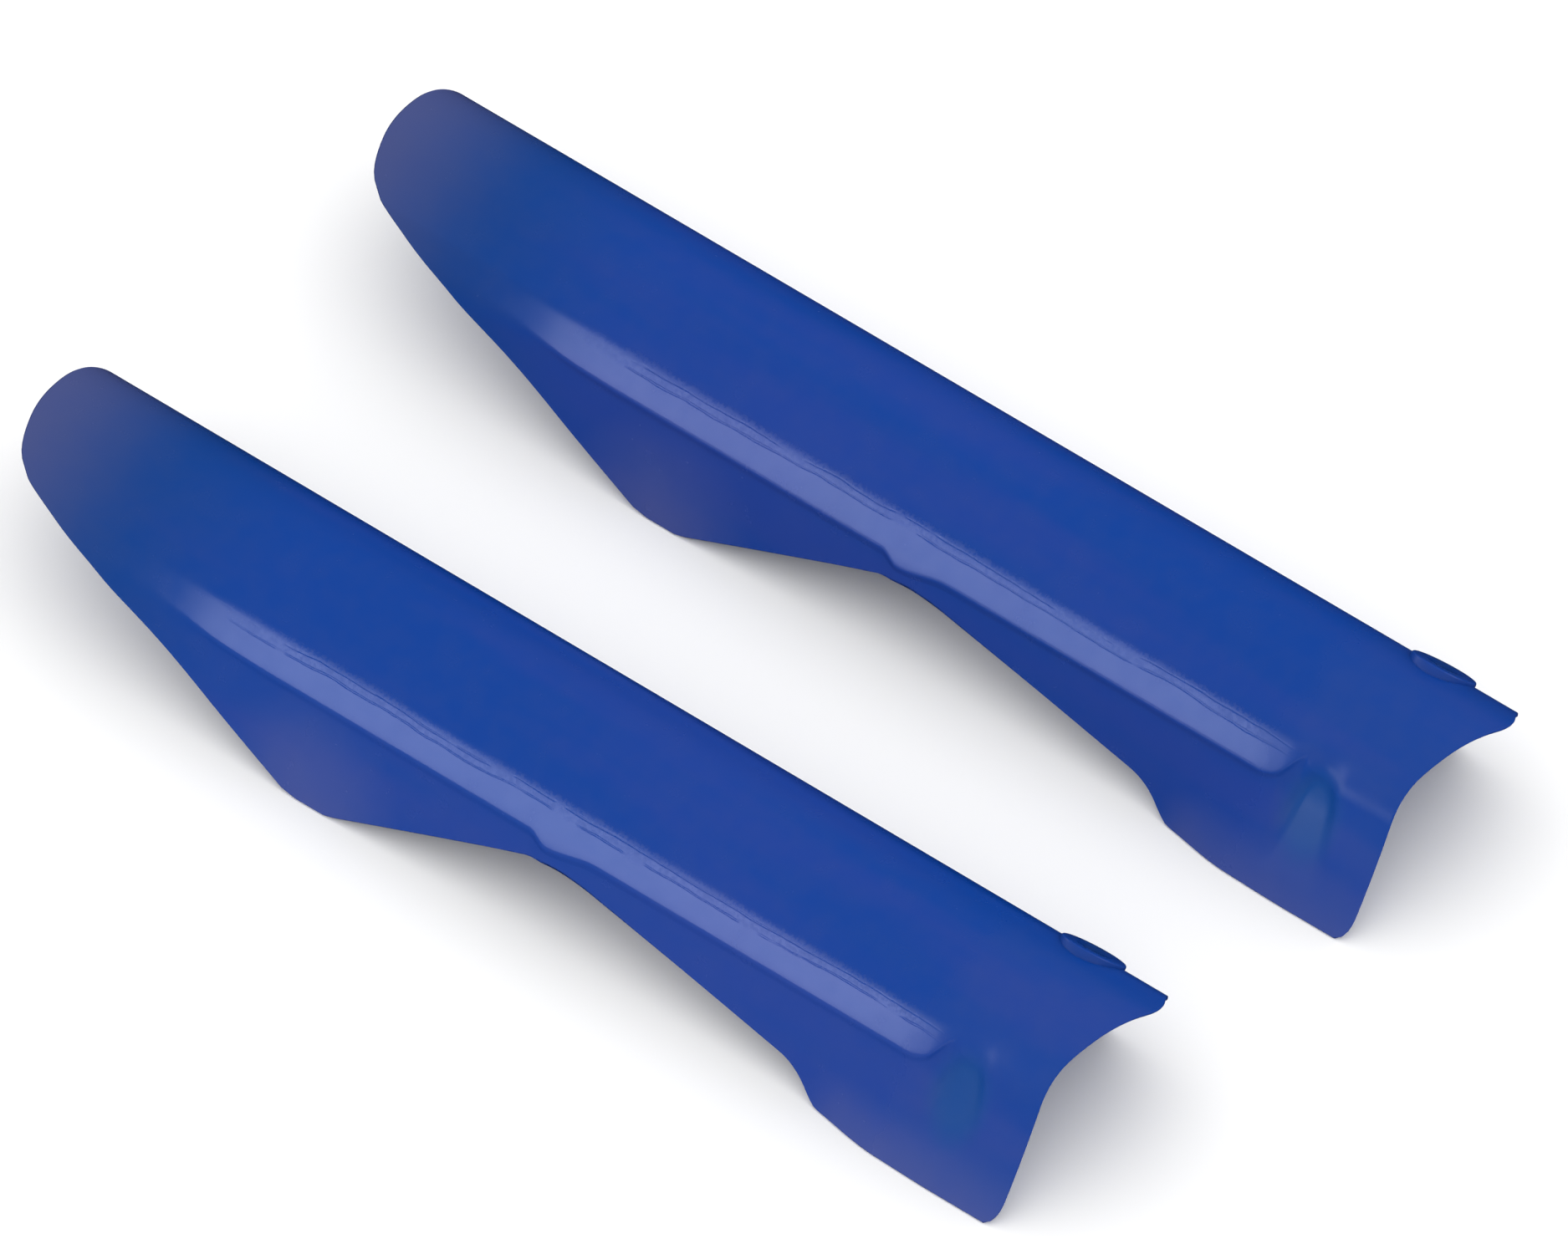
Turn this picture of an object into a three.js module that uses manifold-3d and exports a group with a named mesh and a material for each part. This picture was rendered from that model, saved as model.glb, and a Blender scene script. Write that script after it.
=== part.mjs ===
// A pair of moulded guards for the lower legs of an off-road motorcycle fork, lying open side down.
// Millimetres, +Z up. Each guard runs along +X from its top end to its foot, and its wing points to -Y.

import * as THREE from 'three';
import { mergeVertices } from 'three/addons/utils/BufferGeometryUtils.js';
import Module from 'manifold-3d';

const wasm = await Module();
wasm.setup();

// Driving dimensions of one moulding
const LENGTH = 481.4;            // top end to the tip of the ear at the foot
const CHANNEL_RADIUS = 32.4;     // inside of the half-round channel that covers the fork leg
const WALL = 2.6;                // moulded wall
const SIDE_HEIGHT = 25;          // straight side wall below the half-round
const RUNOUT_ANGLE = 21;         // degrees from the crown to where the half-round runs out into a slope
const SLOPE_WIDTH = 21.5;        // that slope, down to the ledge
const LEDGE_WIDTH = 15.3;        // ledge along the wing side
const LEDGE_SLOPE = 42;          // below the horizontal, degrees
const LEDGE_STEP = 3.2;          // drop from the ledge's edge to the wing
const WING_LEAN = 20.6;          // wing off the vertical, degrees
const FOOT_LEAN = 31.8;          // foot flank off the vertical, degrees

// Where the outline turns, from the top end
const TOP_CORNER = 3;            // width of the rounded corner on the wing side
const TOP_CORNER_DROP = 6.2;     // and its depth below the crown
const TOP_SLANT = 4;             // the side wall's end leans back this far
const TOP_SLANT_DROP = 3;        // and leaves the end this far below the crown
const SIDE_CORNER = 14;          // setback of the side wall's rounded corner at the top end
const KNEE_X = 50.5;             // where the edge leaves the ledge for the wing
const KNEE_ROUNDING = 6;
const WING_TIP_X = 158.8;
const WING_TIP_DROP = 3;         // the tip's corner lies this far below the floor before it is rounded
const WING_TIP_SOFTENING = 14;
const WAIST_X = 257.4;
const WAIST_HEIGHT = 31.6;
const WAIST_ROUNDING = 9;
const LEDGE_START = 30;          // the ledge's step grows from here
const LEDGE_FULL = 120;          // and has its full height from here
const STEP_AT_START = 0.3;       // share of the full step that the ledge starts with

// Where the outline turns, from the foot's edge
const EAR_REACH = 13.6;          // the ear reaches this far past the foot's edge
const EAR_OFFSET = 15.6;         // from the channel's axis to the tip of the ear
const EAR_SETBACK = 6;           // setback of its rounded tip
const EAR_ROUNDING = 0.9;        // length that the rounded tip takes off its corner
const EAR_BACK = 11.8;           // the ear's far side is set back this far from its corner
const ARCH_ROOT = 25;            // from the channel's axis to where the arch leaves the foot's edge
const ARCH_ROUNDING = 10;
const FOOT_LENGTH = 83.3;        // the part of the foot that stands on its lower edge
const FOOT_RISE = 10.6;          // height of the edge where the foot starts to flare
const FOOT_FLARE = 13;           // length of that rise
const FLARE_ROUNDING = 7;
const HEEL_ROUNDING = 6;
const FOOT_SPREAD = 32;          // length over which the flank leans out to its full flare
const FOOT_CORNER = 10;
const LEDGE_END = 43.2;          // from the foot's edge back to the ledge's round end
const LEDGE_FADE = 20;           // length of that round end
const SIDE_CUT = 34;             // the side wall's lower corner is set back this far at the foot

// Fixings, from the foot's edge and from the floor
const PAD_BACK = 25.3;
const PAD_ANGLE = 49;            // from the crown over to the pad's axis on the far shoulder, degrees
const PAD_RADIUS = 12.8;
const PAD_PROUD = 1.3;           // its flat face above the half-round
const PAD_RECESS = 5.2;
const INNER_BOSS_RADIUS = 9;
const INNER_BOSS_HEIGHT = 3.9;
const UPPER_BOSS = { back: 32.8, height: 27, seat: 31 };
const LOWER_BOSS = { back: 20.8, height: 9.5, seat: 40 };
const BOSS_RADIUS = 7.5;
const GAP = 0.3;                 // between pieces that touch

// Metal pieces
const BOLT_RADIUS = 3;           // M6
const BOLT_LENGTH = 12;
const TIP_CHAMFER = 0.6;
const HEAD_RADIUS = 6.2;
const HEAD_HEIGHT = 2;
const SOCKET_RADIUS = 2.3;
const SOCKET_DEPTH = 1.3;
const COLLAR_RADIUS = 4.5;
const FLANGE_RADIUS = 6.8;
const FLANGE_THICKNESS = 1.2;
const INSERT_RADIUS = 4.5;
const INSERT_LENGTH = 7.5;
const THREAD_RADIUS = 2.5;
const KNURL_DEPTH = 0.35;

// Lay of the second guard from the first
const PAIR_SHIFT_X = 19.2;
const PAIR_SPACING_Y = 177.5;

const radians = THREE.MathUtils.degToRad;
const mix = THREE.MathUtils.lerp;
const smooth = THREE.MathUtils.smoothstep;

// Sizes that follow
const OUTER_RADIUS = CHANNEL_RADIUS + WALL;
const CROWN = SIDE_HEIGHT + OUTER_RADIUS;
const FOOT_EDGE = LENGTH - EAR_REACH;
const BOSS_HOLE_RADIUS = INSERT_RADIUS + GAP;
const PAD_PLANE = OUTER_RADIUS + PAD_PROUD;
const RECESS_PLANE = PAD_PLANE - PAD_RECESS;
const INNER_SEAT = CHANNEL_RADIUS - INNER_BOSS_HEIGHT;
const PAD_X = FOOT_EDGE - PAD_BACK;
const PAD_TILT = radians(90 - PAD_ANGLE);
const FOOT_START = FOOT_EDGE - FOOT_LENGTH;
const LEDGE_STOP = FOOT_EDGE - LEDGE_END;
const BEYOND = 20;               // how far a cutter runs past what it cuts
const UNDER = 1;                 // and how far its edge dips below the floor
const RODS = 32;                 // flat sides of a boss or a hole

const materials = {
  moulding: new THREE.MeshStandardMaterial({ color: 0x16489c, roughness: 0.38, metalness: 0 }),
  steel: new THREE.MeshStandardMaterial({ color: 0xc3c6c9, roughness: 0.35, metalness: 1 }),
  brass: new THREE.MeshStandardMaterial({ color: 0xc7a14f, roughness: 0.35, metalness: 1 }),
};

// --- solids -------------------------------------------------------------------------------------

function solidOf(geometry) {
  const bare = geometry.clone();
  bare.deleteAttribute('normal');
  bare.deleteAttribute('uv');
  const merged = mergeVertices(bare, 1e-4);
  return new wasm.Manifold(new wasm.Mesh({
    numProp: 3,
    vertProperties: new Float32Array(merged.attributes.position.array),
    triVerts: new Uint32Array(merged.index.array),
  }));
}

function geometryOf(solid) {
  const mesh = solid.getMesh();
  const geometry = new THREE.BufferGeometry();
  geometry.setAttribute('position', new THREE.BufferAttribute(mesh.vertProperties, 3));
  geometry.setIndex(new THREE.BufferAttribute(mesh.triVerts, 1));
  geometry.computeVertexNormals();
  return geometry;
}

// A closed body through rings of [y, z] points, one ring at each station along X.
function loft(stations, ringAt) {
  const rings = stations.map(ringAt);
  const count = rings[0].length;
  const positions = rings.flatMap((ring, i) => ring.flatMap(([y, z]) => [stations[i], y, z]));
  const index = [];
  for (let i = 0; i + 1 < rings.length; i += 1) {
    for (let j = 0; j < count; j += 1) {
      const a = i * count + j;
      const d = i * count + (j + 1) % count;
      index.push(a, d, d + count, a, d + count, a + count);
    }
  }
  const last = (rings.length - 1) * count;
  const flat = (ring) => ring.map(([y, z]) => new THREE.Vector2(y, z));
  const capOf = (ring) => THREE.ShapeUtils.triangulateShape(flat(ring), []);
  for (const [a, b, c] of capOf(rings[0])) index.push(a, c, b);
  for (const [a, b, c] of capOf(rings.at(-1))) index.push(last + a, last + b, last + c);
  const geometry = new THREE.BufferGeometry();
  geometry.setAttribute('position', new THREE.Float32BufferAttribute(positions, 3));
  geometry.setIndex(index);
  return solidOf(geometry);
}

function extruded(shape, depth) {
  return new THREE.ExtrudeGeometry(shape, { depth, bevelEnabled: false, curveSegments: 8 });
}

// A prism along Y, from low to high, on a shape drawn in X and Z.
function prismAlongY(shape, low, high) {
  const geometry = extruded(shape, high - low);
  geometry.rotateX(Math.PI / 2);
  geometry.translate(0, high, 0);
  return solidOf(geometry);
}

// A prism along Z, from low to high, on a shape drawn in X and Y.
function prismAlongZ(shape, low, high) {
  const geometry = extruded(shape, high - low);
  geometry.translate(0, 0, low);
  return solidOf(geometry);
}

// A cylinder along Y, from low to high.
function rodAlongY(x, z, radius, low, high) {
  const geometry = new THREE.CylinderGeometry(radius, radius, high - low, RODS);
  geometry.translate(x, (low + high) / 2, z);
  return solidOf(geometry);
}

// A cylinder on the pad's axis, from low to high above the half-round's own axis.
function rodOnPad(radius, low, high) {
  const geometry = new THREE.CylinderGeometry(radius, radius, high - low, RODS);
  geometry.translate(0, (low + high) / 2, 0);
  geometry.rotateX(PAD_TILT);
  geometry.translate(PAD_X, 0, SIDE_HEIGHT);
  return solidOf(geometry);
}

// A shape through corners of [x, y, setback], where a corner with a setback is rounded over that length.
function roundedShape(corners) {
  const shape = new THREE.Shape();
  corners.forEach(([x, y, setback = 0], i) => {
    const here = new THREE.Vector2(x, y);
    const towards = (corner) => new THREE.Vector2(...corner).sub(here).setLength(setback).add(here);
    const before = towards(corners.at(i - 1));
    const after = towards(corners[(i + 1) % corners.length]);
    if (i === 0) shape.moveTo(before.x, before.y);
    else shape.lineTo(before.x, before.y);
    if (setback > 0) shape.quadraticCurveTo(x, y, after.x, after.y);
  });
  return shape;
}

// --- the moulding's section ---------------------------------------------------------------------

const downSlope = ([y, z], width, slope) => [
  y - width * Math.cos(radians(slope)),
  z - width * Math.sin(radians(slope)),
];
const runout = [
  -OUTER_RADIUS * Math.sin(radians(RUNOUT_ANGLE)),
  SIDE_HEIGHT + OUTER_RADIUS * Math.cos(radians(RUNOUT_ANGLE)),
];
const shoulder = downSlope(runout, SLOPE_WIDTH, RUNOUT_ANGLE);
const ledgeEdge = downSlope(shoulder, LEDGE_WIDTH, LEDGE_SLOPE);
const wingTop = [ledgeEdge[0], ledgeEdge[1] - LEDGE_STEP];

const onWing = (z) => [wingTop[0] - (wingTop[1] - z) * Math.tan(radians(WING_LEAN)), z];
const onFoot = (z) => [shoulder[0] - (shoulder[1] - z) * Math.tan(radians(FOOT_LEAN)), z];
const between = (a, b, t) => [mix(a[0], b[0], t), mix(a[1], b[1], t)];

// Share of the step's full height, and share of the foot's flank, at a station.
const stepAt = (x) => mix(STEP_AT_START, 1, smooth(x, LEDGE_START, LEDGE_FULL));
const SPREAD_START = FOOT_START - FOOT_FLARE / 4;
const flareAt = (x) => smooth(x, SPREAD_START, SPREAD_START + FOOT_SPREAD);
const endAt = (x) => smooth(x, LEDGE_STOP - LEDGE_FADE, LEDGE_STOP);

// Outer surface from the side wall's lower edge, over the crown, down to the wing's lower edge.
function outerSection(x) {
  const points = [[OUTER_RADIUS, 0], [OUTER_RADIUS, SIDE_HEIGHT / 2]];
  const steps = 10;
  for (let i = 0; i <= steps; i += 1) {
    const angle = radians(mix(-90, RUNOUT_ANGLE, i / steps));
    points.push([-OUTER_RADIUS * Math.sin(angle), SIDE_HEIGHT + OUTER_RADIUS * Math.cos(angle)]);
  }
  points.push(shoulder);
  const edge = [ledgeEdge[0], wingTop[1] + LEDGE_STEP * stepAt(x)];
  points.push(between(edge, onFoot(edge[1]), endAt(x)));
  for (const share of [1, 0.66, 0.33, 0]) {
    const z = wingTop[1] * share;
    points.push(between(onWing(z), onFoot(z), share === 1 ? endAt(x) : flareAt(x)));
  }
  return points;
}

// The same line moved inwards by a depth.
function insetSection(points, depth) {
  return points.map(([y, z], i) => {
    const before = points[Math.max(i - 1, 0)];
    const after = points[Math.min(i + 1, points.length - 1)];
    const along = new THREE.Vector2(after[0] - before[0], after[1] - before[1]).normalize();
    return [y - along.y * depth, i === 0 || i === points.length - 1 ? 0 : z + along.x * depth];
  });
}

const wallRing = (x) => [...outerSection(x), ...insetSection(outerSection(x), WALL).reverse()];
const filledRing = (x) => insetSection(outerSection(x), WALL / 2);

const quarters = (from, length) => [0, 0.25, 0.5, 0.75, 1].map((part) => from + part * length);
const stations = [
  0, ...quarters(LEDGE_START, LEDGE_FULL - LEDGE_START), WAIST_X,
  ...quarters(SPREAD_START, FOOT_SPREAD), ...quarters(LEDGE_STOP - LEDGE_FADE, LEDGE_FADE),
  FOOT_EDGE, LENGTH,
].sort((a, b) => a - b).filter((x, i, all) => i === 0 || x - all[i - 1] > 1);

// --- the moulding's outline ---------------------------------------------------------------------

// Everything below the wing side's lower edge.
function wingSideCutter() {
  const shape = roundedShape([
    [-BEYOND, -BEYOND],
    [-BEYOND, CROWN],
    [0, CROWN],
    [TOP_CORNER, CROWN - TOP_CORNER_DROP, TOP_CORNER_DROP],
    [KNEE_X, ledgeEdge[1], KNEE_ROUNDING],
    [WING_TIP_X, -WING_TIP_DROP, WING_TIP_SOFTENING],
    [WAIST_X, WAIST_HEIGHT, WAIST_ROUNDING],
    [FOOT_START - FOOT_FLARE, FOOT_RISE, FLARE_ROUNDING],
    [FOOT_START, -UNDER, HEEL_ROUNDING],
    [FOOT_EDGE, -UNDER, FOOT_CORNER],
    [FOOT_EDGE, FOOT_CORNER],
    [FOOT_EDGE + BEYOND, FOOT_CORNER],
    [FOOT_EDGE + BEYOND, -BEYOND],
  ]);
  return prismAlongY(shape, -4 * OUTER_RADIUS, -WALL);
}

// Everything past the two ends of the side wall.
function sideWallCutter() {
  const topCorner = roundedShape([
    [-BEYOND, -BEYOND],
    [-BEYOND, CROWN],
    [0, CROWN - TOP_SLANT_DROP],
    [TOP_SLANT, SIDE_HEIGHT + OUTER_RADIUS / 2],
    [TOP_SLANT, 0, SIDE_CORNER],
    [TOP_SLANT + BEYOND, -UNDER],
    [TOP_SLANT + BEYOND, -BEYOND],
  ]);
  const earEdge = FOOT_EDGE + EAR_REACH / 2;
  const earHeight = SIDE_HEIGHT + OUTER_RADIUS / 2;
  const slope = SIDE_CUT / earHeight;
  const footCorner = roundedShape([
    [earEdge - SIDE_CUT - slope * BEYOND, -BEYOND],
    [earEdge + slope * (CROWN - earHeight), CROWN],
    [earEdge + 2 * BEYOND, CROWN],
    [earEdge + 2 * BEYOND, -BEYOND],
  ]);
  const inside = OUTER_RADIUS * 0.4;
  const outside = OUTER_RADIUS + BEYOND;
  return prismAlongY(topCorner, inside, outside).add(prismAlongY(footCorner, inside, outside));
}

// Everything past the foot's edge, the arch and the ear.
function footEndCutter() {
  const earCorner = LENGTH + EAR_ROUNDING;
  const shape = roundedShape([
    [FOOT_EDGE, -4 * OUTER_RADIUS],
    [FOOT_EDGE, -ARCH_ROOT, ARCH_ROUNDING],
    [earCorner, EAR_OFFSET, EAR_SETBACK],
    [earCorner - EAR_BACK, OUTER_RADIUS],
    [earCorner - EAR_BACK, OUTER_RADIUS + BEYOND],
    [LENGTH + BEYOND, OUTER_RADIUS + BEYOND],
    [LENGTH + BEYOND, -4 * OUTER_RADIUS],
  ]);
  return prismAlongZ(shape, -BEYOND, CROWN + BEYOND);
}

// --- one moulding -------------------------------------------------------------------------------

function moulding() {
  let body = loft(stations, wallRing)
    .subtract(wingSideCutter())
    .subtract(sideWallCutter())
    .subtract(footEndCutter());

  const insideWall = CHANNEL_RADIUS + WALL / 3;
  body = body
    .add(rodOnPad(PAD_RADIUS, insideWall, PAD_PLANE))
    .add(rodOnPad(INNER_BOSS_RADIUS, INNER_SEAT, insideWall))
    .subtract(rodOnPad(FLANGE_RADIUS + GAP, RECESS_PLANE, PAD_PLANE + BEYOND))
    .subtract(rodOnPad(COLLAR_RADIUS + GAP, INNER_SEAT - BEYOND, PAD_PLANE));

  const filled = loft(stations, filledRing);
  for (const boss of [UPPER_BOSS, LOWER_BOSS]) {
    const x = FOOT_EDGE - boss.back;
    const post = rodAlongY(x, boss.height, BOSS_RADIUS, -3 * OUTER_RADIUS, -boss.seat).intersect(filled);
    const holeEnd = -boss.seat - INSERT_LENGTH - GAP;
    const hole = rodAlongY(x, boss.height, BOSS_HOLE_RADIUS, holeEnd, -boss.seat + BEYOND);
    body = body.add(post).subtract(hole);
  }
  return geometryOf(body);
}

// --- metal pieces, each turned about Y, facing outwards -----------------------------------------

function turned(profile, sides = 24) {
  const points = profile.map(([radius, height]) => new THREE.Vector2(radius, height));
  return new THREE.LatheGeometry([...points, points[0].clone()], sides);
}

// Flanged bush that the bolt clamps, so the plastic isn't crushed. Its flange is at the outside.
function collar() {
  const flange = RECESS_PLANE + GAP;
  const bore = BOLT_RADIUS + GAP;
  return turned([
    [bore, INNER_SEAT],
    [COLLAR_RADIUS, INNER_SEAT],
    [COLLAR_RADIUS, flange],
    [FLANGE_RADIUS, flange],
    [FLANGE_RADIUS, flange + FLANGE_THICKNESS],
    [bore, flange + FLANGE_THICKNESS],
  ]);
}

// Low button-head bolt with a hexagon socket, its head sunk a little below the face of the pad.
function bolt() {
  const under = RECESS_PLANE + FLANGE_THICKNESS + 2 * GAP;
  const end = under - BOLT_LENGTH;
  const head = turned([
    [0, end],
    [BOLT_RADIUS - TIP_CHAMFER, end],
    [BOLT_RADIUS, end + TIP_CHAMFER],
    [BOLT_RADIUS, under],
    [HEAD_RADIUS, under],
    [HEAD_RADIUS, under + HEAD_HEIGHT * 0.3],
    [HEAD_RADIUS * 0.86, under + HEAD_HEIGHT * 0.75],
    [HEAD_RADIUS * 0.6, under + HEAD_HEIGHT],
    [0, under + HEAD_HEIGHT],
  ]);
  const socket = new THREE.CylinderGeometry(SOCKET_RADIUS, SOCKET_RADIUS, 2 * SOCKET_DEPTH, 6);
  socket.translate(0, under + HEAD_HEIGHT, 0);
  return geometryOf(solidOf(head).subtract(solidOf(socket)));
}

// Threaded insert moulded into a boss, flush with the boss's seat, with a groove between two knurled bands.
function insert(seat) {
  const groove = INSERT_RADIUS - KNURL_DEPTH * 2;
  const third = INSERT_LENGTH / 3;
  return turned([
    [THREAD_RADIUS, -seat - INSERT_LENGTH],
    [INSERT_RADIUS - KNURL_DEPTH, -seat - INSERT_LENGTH],
    [INSERT_RADIUS, -seat - INSERT_LENGTH + KNURL_DEPTH],
    [INSERT_RADIUS, -seat - 2 * third],
    [groove, -seat - 2 * third + KNURL_DEPTH],
    [groove, -seat - third - KNURL_DEPTH],
    [INSERT_RADIUS, -seat - third],
    [INSERT_RADIUS, -seat],
    [THREAD_RADIUS, -seat],
  ]);
}

// --- the pair -----------------------------------------------------------------------------------

function piece(name, geometry, material, x = 0, z = 0) {
  const mesh = new THREE.Mesh(geometry, material);
  mesh.name = name;
  mesh.position.set(x, 0, z);
  return mesh;
}

function guard(name) {
  const group = new THREE.Group();
  const fixing = new THREE.Group();
  fixing.position.set(PAD_X, 0, SIDE_HEIGHT);
  fixing.rotation.x = PAD_TILT;
  fixing.add(
    piece(`${name}_side_collar`, collar(), materials.steel),
    piece(`${name}_side_bolt`, bolt(), materials.steel),
  );
  group.add(piece(`${name}_moulded_shell`, moulding(), materials.moulding), fixing);
  for (const [place, boss] of Object.entries({ upper: UPPER_BOSS, lower: LOWER_BOSS })) {
    const x = FOOT_EDGE - boss.back;
    group.add(piece(`${name}_${place}_insert`, insert(boss.seat), materials.brass, x, boss.height));
  }
  return group;
}

const pair = new THREE.Group();
['first_guard', 'second_guard'].forEach((name, i) => {
  const one = guard(name);
  one.position.set(i * PAIR_SHIFT_X, i * PAIR_SPACING_Y, 0);
  pair.add(one);
});

// The origin is at the middle of the pair, on the floor.
pair.updateMatrixWorld(true);
const box = new THREE.Box3().setFromObject(pair, true);
const middle = box.getCenter(new THREE.Vector3());
pair.position.set(-middle.x, -middle.y, -box.min.z);

export default pair;
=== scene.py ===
"""A pair of injection-moulded guards for the lower legs of an off-road motorcycle fork.

The guards lie open side down, side by side. Each is one blue moulding with a half-round channel, a ledge and
a wing along one side, and a foot at its lower end. A flanged collar and a bolt fasten its side pad, and two
brass inserts sit in the bosses behind its foot.
"""
import logging
import math
from contextlib import contextmanager
from dataclasses import dataclass, field
from enum import Enum
from typing import Callable, Iterable, Iterator, Sequence

import bmesh
import bpy
import numpy as np
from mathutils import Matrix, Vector


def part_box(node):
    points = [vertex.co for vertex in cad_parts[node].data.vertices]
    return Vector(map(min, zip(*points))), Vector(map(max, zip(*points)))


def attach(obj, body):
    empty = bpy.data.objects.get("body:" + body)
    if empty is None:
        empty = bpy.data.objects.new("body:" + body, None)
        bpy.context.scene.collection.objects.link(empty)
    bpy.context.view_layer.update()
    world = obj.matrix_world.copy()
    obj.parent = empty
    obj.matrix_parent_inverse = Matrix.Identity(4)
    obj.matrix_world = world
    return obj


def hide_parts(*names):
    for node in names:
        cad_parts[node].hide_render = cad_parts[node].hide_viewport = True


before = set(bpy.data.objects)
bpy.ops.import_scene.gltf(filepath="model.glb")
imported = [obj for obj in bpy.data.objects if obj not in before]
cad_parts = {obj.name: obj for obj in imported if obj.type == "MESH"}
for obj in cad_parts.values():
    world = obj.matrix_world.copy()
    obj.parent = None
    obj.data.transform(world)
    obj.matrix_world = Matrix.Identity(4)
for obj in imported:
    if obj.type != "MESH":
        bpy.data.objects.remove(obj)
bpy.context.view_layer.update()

MM = 0.001

log = logging.getLogger("fork_guards")


# --- small helpers ------------------------------------------------------------------------------------------


def linear(hex_colour: str) -> tuple[float, float, float, float]:
    """Turns an sRGB hex colour into the linear colour that a shader takes.

    Args:
        hex_colour: The colour, such as "#1a4a9e".

    Returns:
        Linear red, green and blue, with a full alpha.
    """
    values = [int(hex_colour[i:i + 2], 16) / 255 for i in (1, 3, 5)]
    red, green, blue = (v / 12.92 if v <= 0.04045 else ((v + 0.055) / 1.055) ** 2.4 for v in values)
    return red, green, blue, 1.0


def smooth(x: np.ndarray, start: float, end: float) -> np.ndarray:
    """Goes from 0 at start to 1 at end, level at both."""
    t = np.clip((np.asarray(x, float) - start) / (end - start), 0, 1)
    return t * t * (3 - 2 * t)


def make_active(piece: bpy.types.Object) -> None:
    """Selects one object alone and makes it the active one.

    Args:
        piece: The object.
    """
    bpy.ops.object.select_all(action="DESELECT")
    piece.select_set(True)
    bpy.context.view_layer.objects.active = piece


@contextmanager
def editing(piece: bpy.types.Object) -> Iterator[None]:
    """Holds one object in edit mode for the length of a with block.

    Args:
        piece: The object.
    """
    make_active(piece)
    bpy.ops.object.mode_set(mode="EDIT")
    yield
    bpy.ops.object.mode_set(mode="OBJECT")


def name_piece(name: str) -> bpy.types.Object:
    """Names the object that was just added, and its mesh.

    Args:
        name: The piece's name.

    Returns:
        The object.
    """
    piece = bpy.context.object
    piece.name = name
    piece.data.name = name
    return piece


def select_in_edit(piece: bpy.types.Object, domain: str, wanted: Callable[[object], bool]) -> None:
    """Selects vertices, edges or faces of the piece in edit mode by a test on each.

    Args:
        piece: The object in edit mode.
        domain: "VERT", "EDGE" or "FACE".
        wanted: Says whether an element is selected.
    """
    bpy.ops.mesh.select_mode(type=domain)
    bpy.ops.mesh.select_all(action="DESELECT")
    mesh = bmesh.from_edit_mesh(piece.data)
    for element in {"VERT": mesh.verts, "EDGE": mesh.edges, "FACE": mesh.faces}[domain]:
        if wanted(element):
            element.select_set(True)
    mesh.select_flush_mode()
    bmesh.update_edit_mesh(piece.data)


def resize_round(axis: Vector, level: float, share: float) -> None:
    """Scales the selection about an axis that lies along Y, at this y."""
    bpy.ops.transform.resize(value=(share, 1, share), center_override=Vector((axis.x, level, axis.z)))


def extrude(rise: float) -> None:
    """Extrudes the selection along Y, by metres."""
    bpy.ops.mesh.extrude_region_move(TRANSFORM_OT_translate={"value": (0, rise, 0)})


def cut_rings(piece: bpy.types.Object, rings: int) -> None:
    """Cuts a rod in edit mode across, into even rings."""
    select_in_edit(piece, "EDGE", lambda e: abs(e.verts[0].co.y - e.verts[1].co.y) > MM)
    bpy.ops.mesh.subdivide(number_cuts=rings)


def draw_in_rings(piece: bpy.types.Object, axis: Vector, first: float, spacing: float,
                  which: Iterable[int], share: float) -> None:
    """Draws some of a rod's rings in, which leaves a thread's ridges between them.

    Args:
        piece: The rod, in edit mode.
        axis: A point on its axis.
        first: The y of ring 0, in metres.
        spacing: Metres between two rings.
        which: The rings' numbers.
        share: The share of its radius that each keeps.
    """
    for i in which:
        level = first + spacing * i
        select_in_edit(piece, "VERT", lambda v: abs(v.co.y - level) < spacing * 0.2)
        resize_round(axis, level, share)


def flare_end(piece: bpy.types.Object, axis: Vector, level: float, wider: float, height: float) -> None:
    """Widens a rod's far end and draws it out into a flange.

    Args:
        piece: The rod.
        axis: A point on its axis.
        level: The y of its far end, in metres.
        wider: The flange's radius as a multiple of the rod's.
        height: The flange's thickness, in metres.
    """
    with editing(piece):
        select_in_edit(piece, "FACE", lambda f: f.normal.y > 0.9)
        extrude(0)
        resize_round(axis, level, wider)
        extrude(height)


def apply_modifier(piece: bpy.types.Object, kind: str, **settings: object) -> None:
    """Adds a modifier with its settings and applies it.

    Args:
        piece: The object.
        kind: Blender's name of the modifier's type.
        settings: The modifier's own settings.
    """
    make_active(piece)
    modifier = piece.modifiers.new(kind.title(), kind)
    for key, value in settings.items():
        setattr(modifier, key, value)
    bpy.ops.object.modifier_apply(modifier=modifier.name)


def combine(piece: bpy.types.Object, others: Sequence[bpy.types.Object], operation: str) -> None:
    """Joins other solids to a piece, or cuts them out of it, and removes them.

    Args:
        piece: The object that stays.
        others: Solids that don't touch one another.
        operation: "UNION" or "DIFFERENCE".
    """
    make_active(others[0])
    for other in others[1:]:
        other.select_set(True)
    if len(others) > 1:
        bpy.ops.object.join()
    apply_modifier(piece, "BOOLEAN", operation=operation, object=others[0], solver="EXACT")
    mesh = others[0].data
    bpy.data.objects.remove(others[0])
    bpy.data.meshes.remove(mesh)


def settle(piece: bpy.types.Object, smooth_angle: float, finish: bpy.types.Material) -> None:
    """Puts the piece's place into its mesh, shades it smooth and dresses it.

    Args:
        piece: The object.
        smooth_angle: Edges sharper than this many degrees stay crisp.
        finish: Its material.
    """
    make_active(piece)
    bpy.ops.object.transform_apply(location=True, rotation=True, scale=True)
    bpy.ops.object.shade_smooth_by_angle(angle=math.radians(smooth_angle))
    piece.data.materials.clear()
    piece.data.materials.append(finish)


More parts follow.
